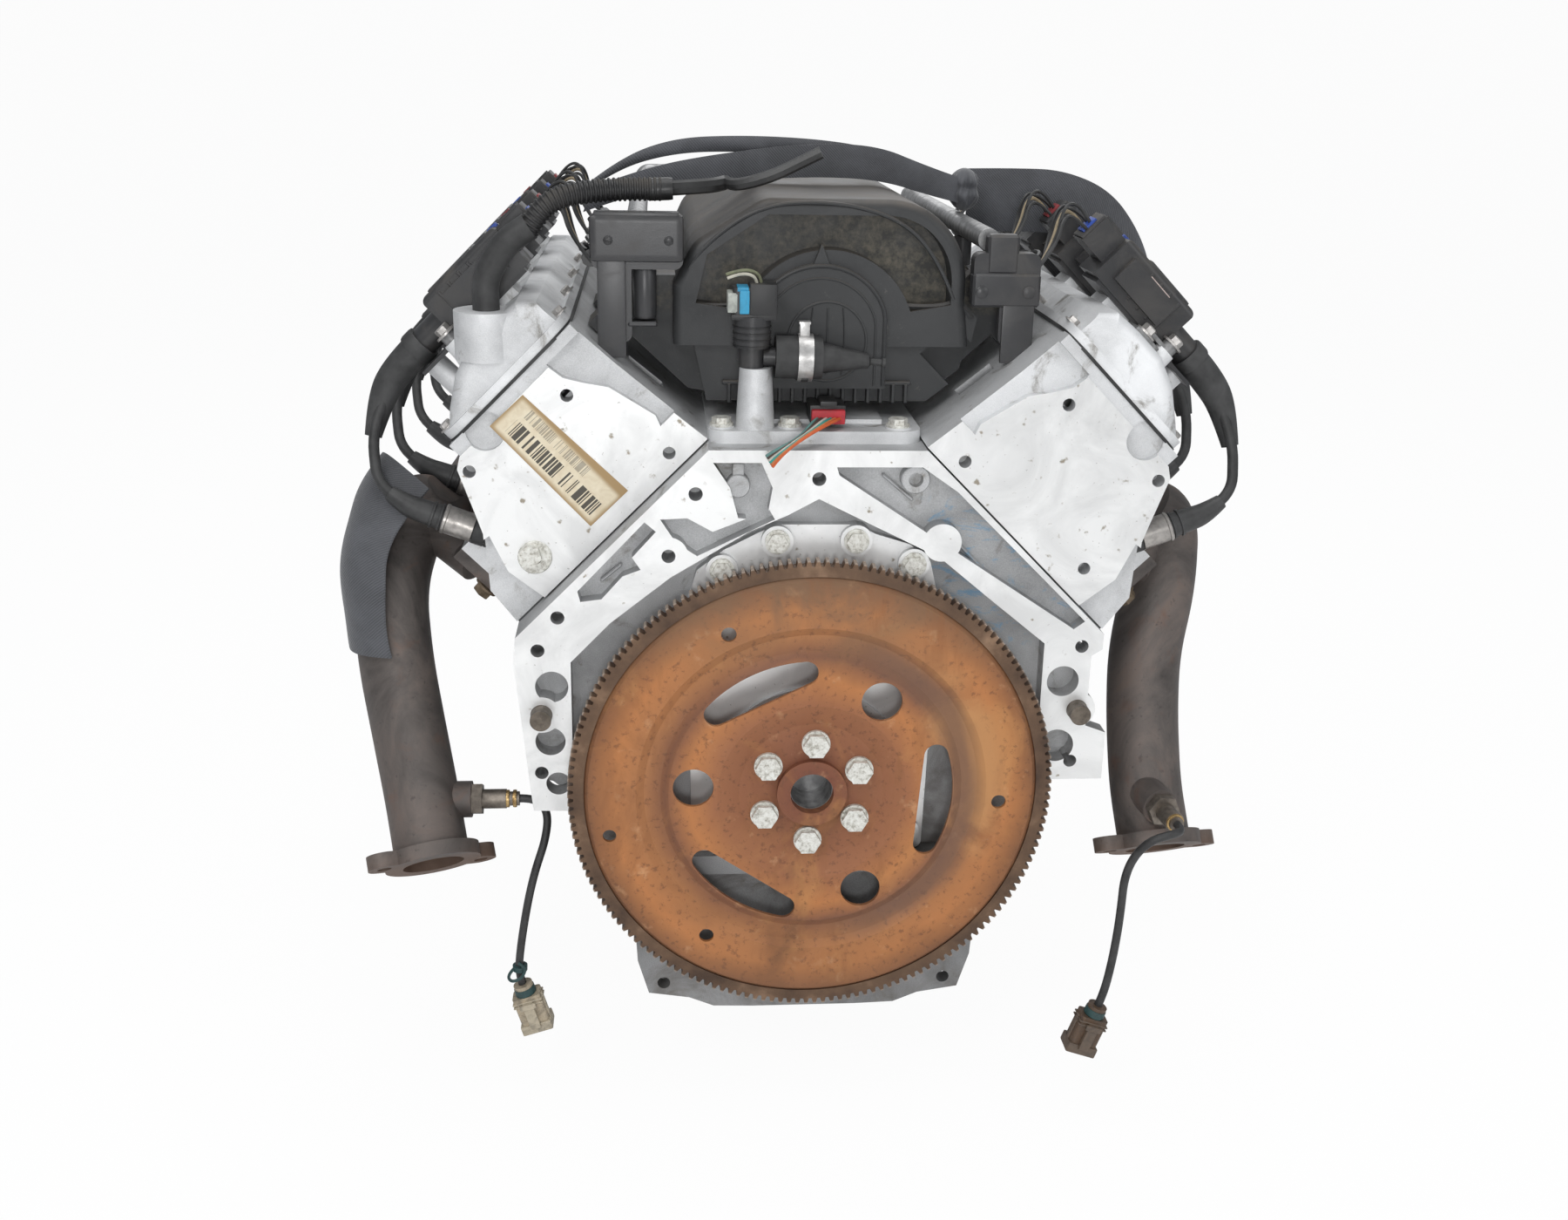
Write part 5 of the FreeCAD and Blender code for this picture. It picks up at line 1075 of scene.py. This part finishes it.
class ENGINE_OT_coil_parts(bpy.types.Operator):
    """Brackets, bolts, connectors and coloured clips on the ignition coils"""
    bl_idname = "engine.coil_parts"
    bl_label = "Coil details"

    def execute(self, context):
        shells, clips, blue, red, metal, bosses = (Maker() for _ in range(6))
        bolts, spread = [], (-COIL_BOLT_SPREAD, COIL_BOLT_SPREAD)
        for side in SIDES:
            matrix = bank_axes(side)
            upward = matrix.to_3x3() @ Vector((0, 0, 1))
            coils = bank_row(COIL_SHIFT)
            for index, y in enumerate(coils):
                self.coil(shells, clips, red if index % 2 else blue, y, matrix)
                bolts += [(matrix @ at(COIL_BOLT_X, y + shift, 404), upward) for shift in spread]
            metal.block((-72, coils[0] - COIL_RAIL_OVERHANG, 400.4), (-48, coils[-1] + COIL_RAIL_OVERHANG, 403.4), 1.2,
                        2, matrix)
            for y in coils:
                for shift in spread:
                    metal.lathe([(0, 396), (8, 396), (7, 401), (0, 401)],
                                matrix @ Matrix.Translation(at(COIL_BOLT_X, y + shift, 0)), 20)
        for side in SIDES:
            matrix = bank_axes(side)
            for y in bank_row(BOSS_SHIFT):
                foot = matrix @ Matrix.Translation(at(BOSS_X, y, 0))
                bosses.lathe([(0, 390), (10.5, 390), (8.8, 397), (8.2, 407), (0, 407)], foot, 28)
                metal.lathe([(0, 406), (6.4, 406), (6.4, 413), (0, 413)], foot, 24)
                metal.block((-62, y - 5, 406), (-36, y + 5, 409.4), 1.0, 2, matrix)
                bolts.append((matrix @ at(BOSS_X, y, 413), matrix.to_3x3() @ Vector((0, 0, 1))))
            self.wires(side)
        bosses.finish("cover_bosses", casting(-1.0, 1.2), slot="cover_casting")
        shells.finish("coil_shells", moulded(0.034, 0.36, 0.4, "coil_shell"), slot="coil_plastic")
        clips.finish("coil_connectors", moulded(0.03, 0.45, 0.5, "connector_grey"), slot="coil_plastic")
        blue.finish("blue_clips", tinted_plastic(0.02, 0.07, 0.38, 0.5), slot="coil_plastic")
        red.finish("red_clips", tinted_plastic(0.28, 0.03, 0.035, 0.85), slot="coil_plastic")
        metal.finish("coil_rails", plain_steel(0.30, 0.42), slot="rail_steel")
        stand_all("coil_bolts", hex_head(10, 7, 8.5), bolts, plain_steel(0.55, 0.35, 0.04), slot="bolt_steel")
        return {"FINISHED"}

    def wires(self, side):
        """The bundle that leaves each coil's connector, and the taped branch that gathers them."""
        black, tinted = Maker(), Maker()
        name = "left" if side == LEFT else "right"
        shift = BANK_OFFSET if side == LEFT else 0.0
        for y in bank_row(COIL_SHIFT):
            for lane in range(5):
                start = bank_place(-141, y - 8 + lane * 4, 424 + (lane % 2) * 5, side) / MILLIMETRE
                lift, sway = 9 + (lane * 5) % 7, (lane * 3) % 5
                route = [start, start + Vector((-side * 9, 0, lift)),
                         start + Vector((-side * (20 + sway), -6 - lane, lift + 2)),
                         start + Vector((-side * (26 + sway), -16 + lane * 2, -10 - sway)),
                         Vector((side * (158 + lane * 2.2), y + shift - 30 + lane * 3, 372 + lane * 2))]
                (tinted if lane == 2 else black).sweep(route, 1.35, 8)
        trunk = [Vector((side * (160 + 3 * math.sin(k * 1.7)), 74 + shift * 0.5 + k * 42, 372 + 3 * math.cos(k * 2.3)))
                 for k in range(10)]
        black.sweep(trunk, 6.2, 16)
        for k in range(9):
            black.sweep([trunk[k] + Vector((side * 3, 4, 5)), trunk[k] + Vector((side * 9, 14, 8)),
                         trunk[k] + Vector((side * 2, 26, 7)), trunk[k + 1] + Vector((0, -8, 2))], 1.8, 8)
        black.finish("coil_wires_" + name, rubber(0.02, 0.42), slot="loom_plastic")
        tinted.finish("coil_wires_light_" + name, tinted_plastic(0.34, 0.27, 0.17, 0.6), slot="loom_plastic")

    def coil(self, shells, clips, colour, y, matrix):
        """Ribs, lid and label pad of one coil, and the connector with its latch."""
        shells.block((-94, y - 19, 437), (-50, y + 19, 443.4), 2.2, 2, matrix)
        for step in range(4):
            low = -88 + step * 10
            shells.block((low, y - 22.6, 411), (low + 3.2, y + 22.6, 438), 0.8, 1, matrix)
        clips.block((-142, y - 12.4, 417), (-112, y + 12.4, 439.6), 1.6, 2, matrix)
        for step in range(5):
            low = y - 10 + step * 4.4
            clips.block((-139, low, 439), (-121, low + 2.2, 441.4), 0.4, 1, matrix)
        colour.block((-143.6, y - 8, 421), (-139.4, y + 8, 434), 0.8, 2, matrix)
        colour.block((-118.4, y - 4.4, 438.4), (-110, y + 4.4, 442.6), 0.8, 2, matrix)


def ribbon(name, band, thickness, crown, across_steps, ripple):
    """A woven band by its middle line, ways across and widths, in millimetres; returns it with its length."""
    left, right = (smooth_line([(Vector(point) + Vector(way).normalized() * width / 2 * edge) * MILLIMETRE
                                for point, way, width in band], 9) for edge in (-1, 1))
    shell = bmesh.new()
    layer = shell.loops.layers.uv.new("weave")
    travelled, grid = 0.0, []
    for index, (start, end) in enumerate(zip(left, right)):
        middle = (start + end) / 2
        if index:
            travelled += (middle - (left[index - 1] + right[index - 1]) / 2).length
        ahead = min(index + 1, len(left) - 1)
        behind = max(index - 1, 0)
        tangent = ((left[ahead] + right[ahead]) - (left[behind] + right[behind])).normalized()
        normal = tangent.cross(end - start).normalized()
        width = (end - start).length
        row = []
        for step in range(across_steps + 1):
            share = step / across_steps
            bulge = crown * math.sin(math.pi * share) + ripple * math.sin(travelled * 95 + share * 3.2)
            centre = start.lerp(end, share) + normal * bulge * MILLIMETRE
            edge = 0.55 if step in (0, across_steps) else 1.0
            offset = normal * thickness * edge * MILLIMETRE / 2
            row.append((shell.verts.new(centre + offset), shell.verts.new(centre - offset),
                        (share * width, travelled)))
        grid.append(row)
    seams = {}
    for row in grid:
        for top, bottom, place_on in row:
            seams[top] = seams[bottom] = place_on
    for first, second in zip(grid, grid[1:]):
        for step in range(across_steps):
            shell.faces.new((first[step][0], first[step + 1][0], second[step + 1][0], second[step][0]))
            shell.faces.new((first[step][1], second[step][1], second[step + 1][1], first[step + 1][1]))
        shell.faces.new((first[0][0], second[0][0], second[0][1], first[0][1]))
        shell.faces.new((first[-1][0], first[-1][1], second[-1][1], second[-1][0]))
    for row in (grid[0], grid[-1]):
        for step in range(across_steps):
            shell.faces.new((row[step][0], row[step][1], row[step + 1][1], row[step + 1][0]))
    for face in shell.faces:
        for loop in face.loops:
            loop[layer].uv = seams[loop.vert]
    maker = Maker()
    maker.take(shell)
    return maker.finish(name, webbing(), slot="strap_webbing"), travelled


class ENGINE_OT_webbing(bpy.types.Operator):
    """Lifting webbing over the intake, its knot, and the band round the left pipe"""
    bl_idname = "engine.webbing"
    bl_label = "Webbing"

    def execute(self, context):
        top, length = ribbon("webbing_top", TOP_BAND, 2.2, 0.6, 6, 0.4)
        knot = self.knot()
        behind, length = ribbon("webbing_behind", REAR_BAND, 2.0, 1.6, 6, 0.5)
        right, length = ribbon("webbing_right", RIGHT_BAND, 2.2, 1.2, 8, 0.5)
        left, length = ribbon("webbing_left", LEFT_BAND, 2.2, 15.0, 12, 0.7)
        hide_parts("lifting_strap")
        return {"FINISHED"}

    def knot(self):
        """The bundle where the two bands meet: a form gathered into soft folds."""
        shell = bmesh.new()
        bmesh.ops.create_icosphere(shell, subdivisions=5, radius=1.0)
        for vertex in shell.verts:
            way = vertex.co.copy()
            angle = math.atan2(way.y, way.x)
            fold = 0.10 * math.sin(5 * angle + 2.2 * way.z) + 0.05 * math.sin(11 * angle - 3.4 * way.z)
            pinch = 1.0 - 0.16 * math.exp(-((way.z - 0.1) / 0.22) ** 2)
            radius = (1 + fold * (1 - abs(way.z) ** 3)) * pinch
            vertex.co = Vector((way.x * 12.0 * radius, way.y * 20.0 * radius, way.z * 16.5))
        centre = at(133, 218, 417)
        shell.transform(Matrix.Translation(centre) @ Matrix.Scale(MILLIMETRE, 4))
        maker = Maker()
        maker.take(shell)
        return maker.finish("webbing_knot", webbing(), slot="strap_webbing")


TOP_BAND = (((-166, 201, 406), (0.35, 0, 0.94), 20), ((-128, 201, 420), (0.3, 0, 0.95), 20),
            ((-78, 201, 430), (0.16, 0, 1), 21), ((0, 201, 438.5), (0.05, 0, 1), 25),
            ((60, 201, 438), (-0.1, 0, 1), 26), ((102, 201, 424), (-0.35, 0, 0.94), 26),
            ((128, 206, 417), (-0.3, 0, 0.95), 22))
RIGHT_BAND = (((139, 237, 407), (0, 0, 1), 50), ((180, 237, 408), (0, 0, 1), 50), ((216, 237, 407), (0.1, 0, 1), 50),
              ((248, 237, 396), (0.42, 0, 0.9), 46), ((272, 237, 372), (0.72, 0, 0.7), 36),
              ((290, 237, 346), (0.9, 0, 0.42), 20), ((295, 237, 316), (1, 0, 0.1), 8),
              ((295.5, 237, 300), (1, 0, 0), 7))
LEFT_BAND = (((-327, 63, 88), (-0.56, 0.83, 0), 62), ((-331, 67, 112), (-0.56, 0.83, 0), 64),
             ((-332, 71, 140), (-0.56, 0.83, 0), 66), ((-329, 80, 168), (-0.56, 0.83, 0.05), 68),
             ((-318, 93, 196), (-0.6, 0.78, 0.12), 70), ((-302, 104, 214), (-0.6, 0.74, 0.22), 68))
REAR_BAND = (((-178, 216, 406), (0.6, 0, 0.8), 12), ((-146, 216, 431), (0.5, 0, 0.86), 12),
             ((-100, 217, 447), (0.25, 0, 0.97), 12), ((-46, 218, 449.5), (0, 0, 1), 12),
             ((10, 220, 447), (-0.05, 0, 1), 14), ((62, 222, 440), (-0.2, 0, 0.98), 16),
             ((112, 220, 424), (-0.4, 0, 0.92), 15))


def label_finish():
    """Aged paper with two rows of plain bars, browned at its edges."""
    paint = Paint("bar_label")
    x, _, z = paint.split()
    x, z = paint.plus(x, -LABEL_CORNER[0]), paint.plus(z, -LABEL_CORNER[1])
    along = paint.plus(paint.times(x, LABEL_LEAN[0]), paint.times(z, -LABEL_LEAN[1]))
    across = paint.plus(paint.times(x, LABEL_LEAN[1]), paint.times(z, LABEL_LEAN[0]))
    rows = []
    for pitch, low, high, start, end, share in ((0.00052, 0.0215, 0.0298, 0.012, 0.072, 0.42),
                                                (0.00078, 0.0052, 0.0175, 0.010, 0.094, 0.46)):
        count = paint.math("FLOOR", paint.math("DIVIDE", along, pitch))
        chance = paint.node("ShaderNodeTexWhiteNoise", {"W": count}, noise_dimensions="1D")["Value"]
        bar = paint.math("LESS_THAN", chance, share)
        bar = paint.times(bar, paint.band(across, low, high, 0.0002))
        rows.append(paint.times(bar, paint.band(along, start, end, 0.0002)))
    edge = paint.times(paint.band(across, 0.0022, 0.0302, 0.0022), paint.band(along, 0.0022, 0.0982, 0.0022))
    stain = paint.noise(120.0, 5.0, 0.6, 0.6)
    paint.colour = (0.74, 0.66, 0.50)
    paint.lay(paint.step(stain, 0.3, 0.75), (0.56, 0.45, 0.29), 0.6)
    paint.colour = paint.mix(edge, (0.36, 0.24, 0.11), paint.colour)
    paint.lay(rows[0], (0.10, 0.09, 0.075), 0.55)
    paint.lay(rows[1], (0.018, 0.016, 0.014), 0.92)
    return paint.finish(stain, 0.15, 0.0002, roughness=0.5)


class ENGINE_OT_marks(bpy.types.Operator):
    """The plain bar label on the left head, and the cover gaskets"""
    bl_idname = "engine.marks"
    bl_label = "Label and gaskets"

    def execute(self, context):
        label = Maker()
        label.prism([(-229.8, 265.5), (-160.8, 192.4), (-133.7, 218.9), (-206.1, 287.8)], 26.5, 26.94, 0.1, 1)
        label.finish("bar_label", label_finish(), slot="head_casting")
        for name, low, high, colour in (("coil_label", (-87, 65.2, 424), (-66, 66.6, 435), (0.62, 0.50, 0.46)),
                                        ("coil_label_end", (-65.4, 65.2, 424.5), (-59.6, 66.6, 433.5),
                                         (0.24, 0.50, 0.26))):
            ticket = Maker()
            ticket.block(low, high, 0.2, 1, bank_axes(RIGHT))
            ticket.finish(name, tinted_plastic(*colour, 0.35), slot="coil_plastic")
        gaskets = Maker()
        for side in SIDES:
            outer, inner = cover_outline(1.1), cover_outline(-3.0)
            shell = bmesh.new()
            rings = [[shell.verts.new(at(x, y, z)) for x, y in outline]
                     for outline, z in ((outer, 359.2), (outer, 361.6), (inner, 361.6), (inner, 359.2))]
            for low, high in zip(rings, rings[1:] + rings[:1]):
                bridge(shell, low, high)
            gaskets.take(shell, bank_axes(side))
        gaskets.finish("cover_gaskets", rubber(0.012, 0.45), slot="seal_rubber")
        return {"FINISHED"}


class ENGINE_OT_valley_parts(bpy.types.Operator):
    """The pressure sensor's connector, hose clamp, cut leads and the red-fronted connector"""
    bl_idname = "engine.valley_parts"
    bl_label = "Valley details"

    def execute(self, context):
        black = moulded(0.014, 0.4, 0.25, "connector_black")
        body, blue, pale = Maker(), Maker(), Maker()
        body.block((-48.4, 24.6, 344), (-29.2, 47, 366), 1.8)
        body.block((-61, 25, 341.4), (-29.6, 30, 345), 0.8)
        for step in range(4):
            body.lathe([(13.05, -0.7), (13.7, -0.5), (13.7, 0.5), (13.05, 0.7)],
                       Matrix.Translation(at(-46, 36, 322.5 + step * 4.4)), 32, True)
        body.finish("pressure_plug", black, slot="sensor_plastic")
        blue.block((-55.4, 24.2, 345.4), (-48.6, 46, 361.4), 1.0)
        blue.block((-57, 25.6, 360.6), (-49, 44, 363.6), 0.8)
        blue.finish("pressure_plug_blue", tinted_plastic(0.03, 0.30, 0.50, 0.4), slot="sensor_plastic")
        pale.block((-63.6, 26, 346), (-56.0, 45, 359.6), 1.0)
        pale.finish("pressure_plug_pale", tinted_plastic(0.42, 0.44, 0.40, 0.6), slot="sensor_plastic")
        band = Maker()
        hose = aimed(at(-14, 36, 313.8), (1, 0, -0.02))
        band.lathe([(16.15, 0.2), (16.9, 0.2), (16.9, 10.8), (16.15, 10.8)], hose, 48, True)
        for lift in (-1.0, 1.0):
            band.block((-12.4, 34.4 + lift * 3.4, 329.4), (-5.6, 35.6 + lift * 3.4, 339.0), 0.5)
        band.block((-13.2, 31.6, 337.6), (-4.8, 40.4, 339.4), 0.6)
        band.finish("hose_band", plain_steel(0.62, 0.3, 0.02), slot="bolt_steel")
        slots = Maker()
        for angle in (-118, -70, -22):
            turn = hose @ Matrix.Rotation(math.radians(angle), 4, "Z")
            slots.block((16.4, -3.6, 3.0), (17.15, 3.6, 8.0), 0.3, 1, turn)
        slots.finish("hose_band_slots", rubber(0.02, 0.55), slot="hose_rubber")
        ends = Maker()
        tail = aimed(at(37, 36, 311.2), (1, 0, -0.06))
        ends.lathe([(0, -4), (5.6, -4), (5.2, 0), (2.6, 1.5), (2.6, 9), (3.6, 10), (3.6, 12), (0, 12)], tail, 24)
        ends.finish("hose_tail", rubber(0.018, 0.5), slot="hose_rubber")
        self.leads(black)
        return {"FINISHED"}

    def leads(self, black):
        shell, front = Maker(), Maker()
        shell.block((-4, 33, 267.1), (22, 60, 280), 1.6)
        shell.block((3, 30, 279), (15, 52, 283.4), 1.0)
        shell.finish("cut_connector", black, slot="sensor_plastic")
        front.block((-3, 27.4, 267.3), (21, 34, 277.4), 1.2)
        front.finish("cut_connector_front", tinted_plastic(0.45, 0.02, 0.03, 0.45), slot="sensor_plastic")
        colours = ((0.55, 0.10, 0.02), (0.50, 0.16, 0.05), (0.03, 0.28, 0.24), (0.50, 0.48, 0.42), (0.07, 0.04, 0.03),
                   (0.10, 0.22, 0.20))
        for index, colour in enumerate(colours):
            start = 17 - index * 3.2
            wire = Maker()
            wire.sweep([(start, 28, 271.5), (start - 3, 20, 272.4), (start * 0.4 - 14, 2, 266 - index * 0.5),
                        (-27 - index * 1.3, -9 - index * 0.6, 254.4 + index * 0.5),
                        (-33.5 - index * 0.9, -14, 246.6 + index * 1.5)], 1.15)
            wire.finish("cut_wire_%d" % (index + 1), tinted_plastic(*colour, 0.35), slot="cord_rubber")
        for index, (colour, route) in enumerate(SENSOR_LEADS):
            wire = Maker()
            wire.sweep(route, 1.1)
            wire.finish("sensor_lead_%d" % (index + 1), tinted_plastic(*colour, 0.4), slot="cord_rubber")


class ENGINE_OT_intake_parts(bpy.types.Operator):
    """Mouldings on the intake's rear: the D-shaped boss's rim and dial, the louvre under the hood, the rail covers"""
    bl_idname = "engine.intake_parts"
    bl_label = "Intake details"

    def execute(self, context):
        finish = intake_finish()
        rim = Maker()
        arch = [(-43.4, 290), (-43.4, 332)] + [(4.2 + 47.6 * math.cos(math.radians(angle)),
                                                331 + 44.4 * math.sin(math.radians(angle)))
                                               for angle in range(170, 5, -12)] + [(50.4, 332), (50.4, 290)]
        rim.sweep([(x, 54.2, z) for x, z in arch], 1.5)
        rim.sweep([(x * 0.86 + 0.5, 54.1, 290 + (z - 290) * 0.9) for x, z in arch], 0.9, 8)
        dial = aimed(at(9, 54.3, 322), (0, -1, 0))
        rim.lathe([(27.4, -0.6), (29.2, -0.6), (29.2, 0.9), (28.8, 1.2), (27.8, 1.2), (27.4, 0.9)], dial, 64, True)
        for shift in (-12, 0, 12):
            rim.sweep([(9 + shift * 0.9, 54.1, 346), (9 + shift * 1.15, 53.9, 322), (9 + shift * 0.9, 54.1, 298)],
                      0.7, 8)
        rim.prism([(-3.5, 373), (3.4, 390), (4.2, 390), (11, 373)], 54.6, 61, 0.8, 1)
        for index in range(15):
            x = -62 + index * 9.2
            rim.block((x, 57.4, 276.8), (x + 2.6, 63.8, 290.5), 0.5, 1)
        rim.block((-66, 58.6, 289.4), (72, 64.6, 292.4), 0.8, 1)
        rim.sweep([(-90, 59.6, 372), (-84.5, 58.6, 383.5), (-42, 58.0, 416.5), (13, 58.0, 419.6), (60, 58.0, 408),
                   (88, 58.4, 380), (100, 58.8, 352)], 1.5)
        rim.sweep([(-86, 63, 346), (-40, 63.4, 345), (-14, 63.2, 352)], 1.6, 10)
        rim.sweep([(62, 63.2, 347), (86, 63, 345), (106, 63, 351), (115, 64, 338)], 2.2, 10)
        rim.finish("intake_mouldings", finish, slot="intake_plastic")
        covers = Maker()
        covers.block((-159, 46.4, 377), (-93.6, 62, 409.4), 5.5, 4)
        covers.block((-156, 47.6, 407), (-97, 61, 411.2), 1.6, 2)
        covers.block((-154, 48, 310), (-134, 51.6, 378), 1.7, 2)
        covers.lathe([(7.6, 337), (8.4, 339), (8.4, 371), (7.6, 373)], Matrix.Translation(at(-121, 60, 0)), 28, True)
        covers.block((-133, 49, 332), (-112, 66, 335.6), 1.2, 1)
        covers.block((111.4, 47.6, 348), (160.6, 62.4, 372), 4.5, 3)
        covers.block((134, 48, 308), (157, 51.6, 350), 1.7, 2)
        covers.block((121, 49, 371), (144, 63, 399), 5.0, 3)
        for x, z in ((-146, 392), (-104, 392), (118, 359), (152, 359)):
            covers.lathe([(0, 0), (4.4, 0), (4.4, 1.6), (3.4, 2.2), (0, 2.2)], aimed(at(x, 48.6, z), (0, -1, 0)), 20)
        covers.finish("rail_cover_ends", moulded(0.036, 0.33, 0.3, "bracket_plastic"), slot="bracket_plastic")
        return {"FINISHED"}


class ENGINE_OT_fastenings(bpy.types.Operator):
    """Bolts of the covers, pan, manifolds, front cover and throttle body, and the cast forms round the bellhousing"""
    bl_idname = "engine.fastenings"
    bl_label = "Fastenings"

    def execute(self, context):
        count = context.scene.engine_sizes.cover_bolts
        steel = plain_steel(0.50, 0.4, 0.04)
        stand_all("cover_bolts", hex_head(8, 5, 6.5), self.cover_places(count), steel, slot="bolt_steel", seed=5)
        stand_all("pan_bolts", hex_head(8, 5, 7.0), self.pan_places(), steel, slot="bolt_steel", seed=7)
        stand_all("front_bolts", hex_head(8, 5, 7.5), self.front_places(), steel, slot="bolt_steel", seed=9)
        stand_all("manifold_bolts", hex_head(13, 8, 9.5), self.manifold_places(), plain_steel(0.20, 0.6, 0.3),
                  slot="exhaust_iron", seed=11)
        hub = [(at(PUMP_HUB_RADIUS * math.cos(angle), PUMP_HUB[0], PUMP_HUB[1] + PUMP_HUB_RADIUS * math.sin(angle)),
                (0, 1, 0)) for angle in (math.radians(90), math.radians(210), math.radians(330))]
        stand_all("hub_bolts", hex_head(10, 6, 9.0), hub, steel, "pump_shaft", "balancer_iron", seed=13)
        self.cast_forms()
        return {"FINISHED"}

    def cover_places(self, count):
        first, last = COVER_Y[0] + COVER_MARGIN, COVER_Y[1] - COVER_MARGIN
        places = [first + index * (last - first) / (count - 1) for index in range(count)]
        return [(bank_place(x, y, 367.9, side), (side * DIAGONAL, 0, DIAGONAL))
                for side in SIDES for y in places for x in COVER_BOLT_X]

    def pan_places(self):
        return [(at(side * 129.5, 40 + index * 92, -70), (0, 0, -1)) for side in SIDES for index in range(6)]

    def front_places(self):
        outline = ((78, 150), (80, 112), (92, 30), (104, -20))
        places = [(side * (x - 3), 534, z) for side in SIDES for x, z in outline]
        places += [(side * 44, 462, 352 + lift * 44) for side in SIDES for lift in (-1, 1)]
        return [(at(*place), (0, 1, 0)) for place in places]

    def manifold_places(self):
        return [(bank_place(77, y + shift, 264, side), (side * DIAGONAL, 0, -DIAGONAL))
                for side in SIDES for y in bank_row() for shift in (-22, 18)]

    def cast_forms(self):
        """The web under each wing, and the ribs and bosses that stand in the bellhousing's pockets."""
        forms = Maker()
        for side in SIDES:
            corners = [(118.4, -59), (156, -59), (162, -30), (196, -1), (118.4, -1)]
            forms.prism([(side * x, z) for x, z in corners], 17.0, 25.0, 0.8, 1)
        forms.lathe([(0, 0), (10.5, 0), (10.5, 8.6), (9.6, 9.4), (5.2, 9.4), (4.8, 3.0), (0, 3.0)],
                    aimed(at(70, 12.9, 233), (0, -1, 0)), 32)
        forms.lathe([(0, 0), (8.5, 0), (8.5, 7.6), (7.8, 8.4), (0, 8.4)], aimed(at(-56, 12.9, 228), (0, -1, 0)), 28)
        forms.block((-60, 6, 229), (-52, 12.9, 244), 1.4)
        for x, z, turn, reach in ((58, 226, -40, 30), (112, 176, -45, 44), (150, 144, -45, 26), (-146, 163, 40, 20)):
            forms.block((-reach / 2, 8.6, -1.3), (reach / 2, 12.9, 1.3), 1.0, 1,
                        Matrix.Translation(at(x, 0, z)) @ Matrix.Rotation(math.radians(-turn), 4, "Y"))
        forms.finish("bell_castings", casting(-1.0, 0.70, True), slot="block_casting")
        washer = Maker()
        washer.lathe([(5, 0), (12.4, 0), (12.4, 1.0), (11.6, 1.7), (5, 1.7)],
                     aimed(bank_place(22.5, 2.86, 262, LEFT), (0, -1, 0)), 40, True)
        washer.finish("head_washer", zinc_bolt(), slot="bolt_steel")


SENSOR_LEADS = (((0.50, 0.48, 0.40), ((-43, 33, 364), (-43.5, 32, 369), (-49, 30, 372.5), (-58, 28, 372),
                                      (-64, 27, 369.5))),
                ((0.16, 0.17, 0.10), ((-40, 34, 364), (-40.5, 33, 371), (-48, 31, 375), (-57, 29, 374.5),
                                      (-65, 28, 372))))


class ENGINE_PT_panel(bpy.types.Panel):
    """Lists the engine's pieces and their settings"""
    bl_idname = "ENGINE_PT_panel"
    bl_label = "Engine"
    bl_space_type = "VIEW_3D"
    bl_region_type = "UI"
    bl_category = "Engine"

    def draw(self, context):
        layout = self.layout
        for group in (context.scene.engine_stage, context.scene.engine_finish, context.scene.engine_sizes):
            for key in group.__annotations__:
                layout.prop(group, key)
        for operator in OPERATORS:
            layout.operator(operator.bl_idname)


GROUPS = (("engine_stage", EngineStage), ("engine_finish", EngineFinish), ("engine_sizes", EngineSizes))
OPERATORS = (ENGINE_OT_stage, ENGINE_OT_castings, ENGINE_OT_turning, ENGINE_OT_mouldings, ENGINE_OT_cords,
             ENGINE_OT_leads, ENGINE_OT_coil_parts, ENGINE_OT_webbing, ENGINE_OT_marks, ENGINE_OT_valley_parts,
             ENGINE_OT_intake_parts, ENGINE_OT_fastenings)


def register():
    for name, group in GROUPS:
        bpy.utils.register_class(group)
        setattr(bpy.types.Scene, name, PointerProperty(type=group))
    for operator in OPERATORS:
        bpy.utils.register_class(operator)
    bpy.utils.register_class(ENGINE_PT_panel)


def unregister():
    bpy.utils.unregister_class(ENGINE_PT_panel)
    for operator in reversed(OPERATORS):
        bpy.utils.unregister_class(operator)
    for name, group in reversed(GROUPS):
        delattr(bpy.types.Scene, name)
        bpy.utils.unregister_class(group)


def main():
    register()
    for operator in OPERATORS:
        module, name = operator.bl_idname.split(".")
        getattr(getattr(bpy.ops, module), name)()


if __name__ == "__main__":
    main()
